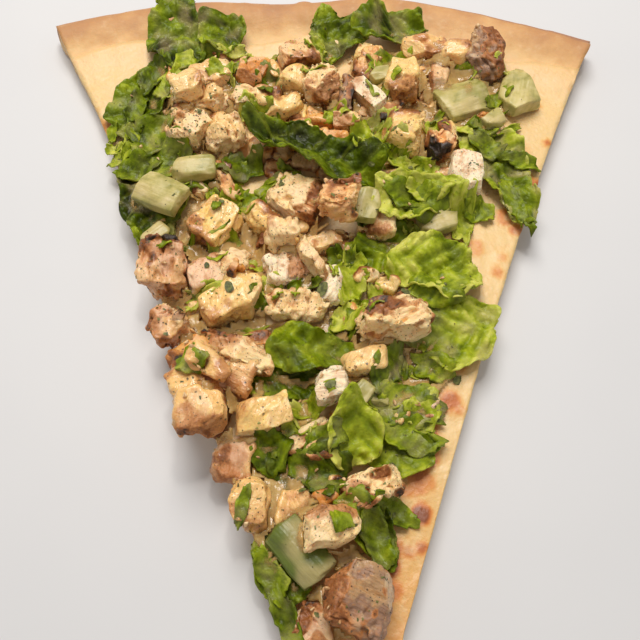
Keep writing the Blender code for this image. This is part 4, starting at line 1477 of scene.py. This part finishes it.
herbs = add_piece("herb_flakes", herb_bm, herb_finish, "romaine_leaf")
pepper = add_piece("cracked_pepper", pepper_bm, pepper_finish, "grilled_chicken")
add_piece("chicken_crumbs", crumb_bm, crumb_finish, "grilled_chicken")
for piece in (herbs, pepper):
    piece.data.shade_flat()
print("places drawn for herbs:", len(herb_places), "pepper:", len(pepper_places), "crumbs:", CRUMBS)

# %% [markdown]
# ## Floor, light and camera
#
# The photograph looks down on the slice from above its point, under soft light from beyond the
# rim, so the slice darkens gently towards its point. One large lamp and an even pale sky do
# that, and a small lamp puts sharp glints on wet leaves and dressing.

# %% Floor, light and camera
FLOOR_SIDE = 3.0
FLOOR_DROP = -0.2 * MM  # just under the slice
floor_bm = bmesh.new()
bmesh.ops.create_grid(floor_bm, x_segments=1, y_segments=1, size=FLOOR_SIDE / 2)
bmesh.ops.translate(floor_bm, verts=floor_bm.verts, vec=(0, 0, FLOOR_DROP))
floor = in_scene("floor", as_mesh("floor", floor_bm))
floor_finish = Finish("pale_floor")
floor_colour = floor_finish.blend(paint(218, 217, 217), paint(212, 211, 212), floor_finish.grain(60, 2))
floor_finish.lay(Base_Color=floor_colour, Roughness=0.5 + floor_finish.grain(40, 2) * 0.05)
floor.data.materials.append(floor_finish.material)

sky = bpy.data.worlds.new("even_sky")
sky.use_nodes = True
sky.node_tree.nodes["Background"].inputs["Color"].default_value = (1.0, 0.985, 0.965, 1)
sky.node_tree.nodes["Background"].inputs["Strength"].default_value = 0.42
bpy.context.scene.world = sky
LAMP_AIM = Vector((0, 0.02, 0))


def hang_lamp(name, size, energy, colour, place):
    """A round lamp at a place in metres, aimed at the middle of the slice."""
    light = bpy.data.lights.new(name, "AREA")
    light.shape = "DISK"
    light.size = size
    light.energy = energy
    light.color = colour
    lamp = in_scene(name, light)
    lamp.location = place
    lamp.rotation_euler = (LAMP_AIM - lamp.location).to_track_quat("-Z", "Y").to_euler()


hang_lamp("window", 0.5, 5.3, (1.0, 0.97, 0.93), (-0.06, 0.4, 0.74))
hang_lamp("ceiling_lamp", 0.06, 0.5, (1.0, 0.96, 0.9), (0.06, 0.16, 0.6))

CAMERA_PLACE = (-0.00687, -0.0984, 0.18544)
CAMERA_ANGLE, CAMERA_TILT, CAMERA_TURN = 50, 26.08, -2  # degrees
camera_data = bpy.data.cameras.new("photo_view")
camera_data.angle = math.radians(CAMERA_ANGLE)
camera_data.clip_start = 1 * MM
camera = in_scene("photo_view", camera_data)
camera.location = CAMERA_PLACE
camera.rotation_euler = (math.radians(CAMERA_TILT), 0, math.radians(CAMERA_TURN))
bpy.context.scene.camera = camera
bpy.context.scene.view_settings.view_transform = "Standard"

# %% Sizes
print("solids:", [round((high - low) / MM, 1) for low, high in zip(*cad_box)], "mm")
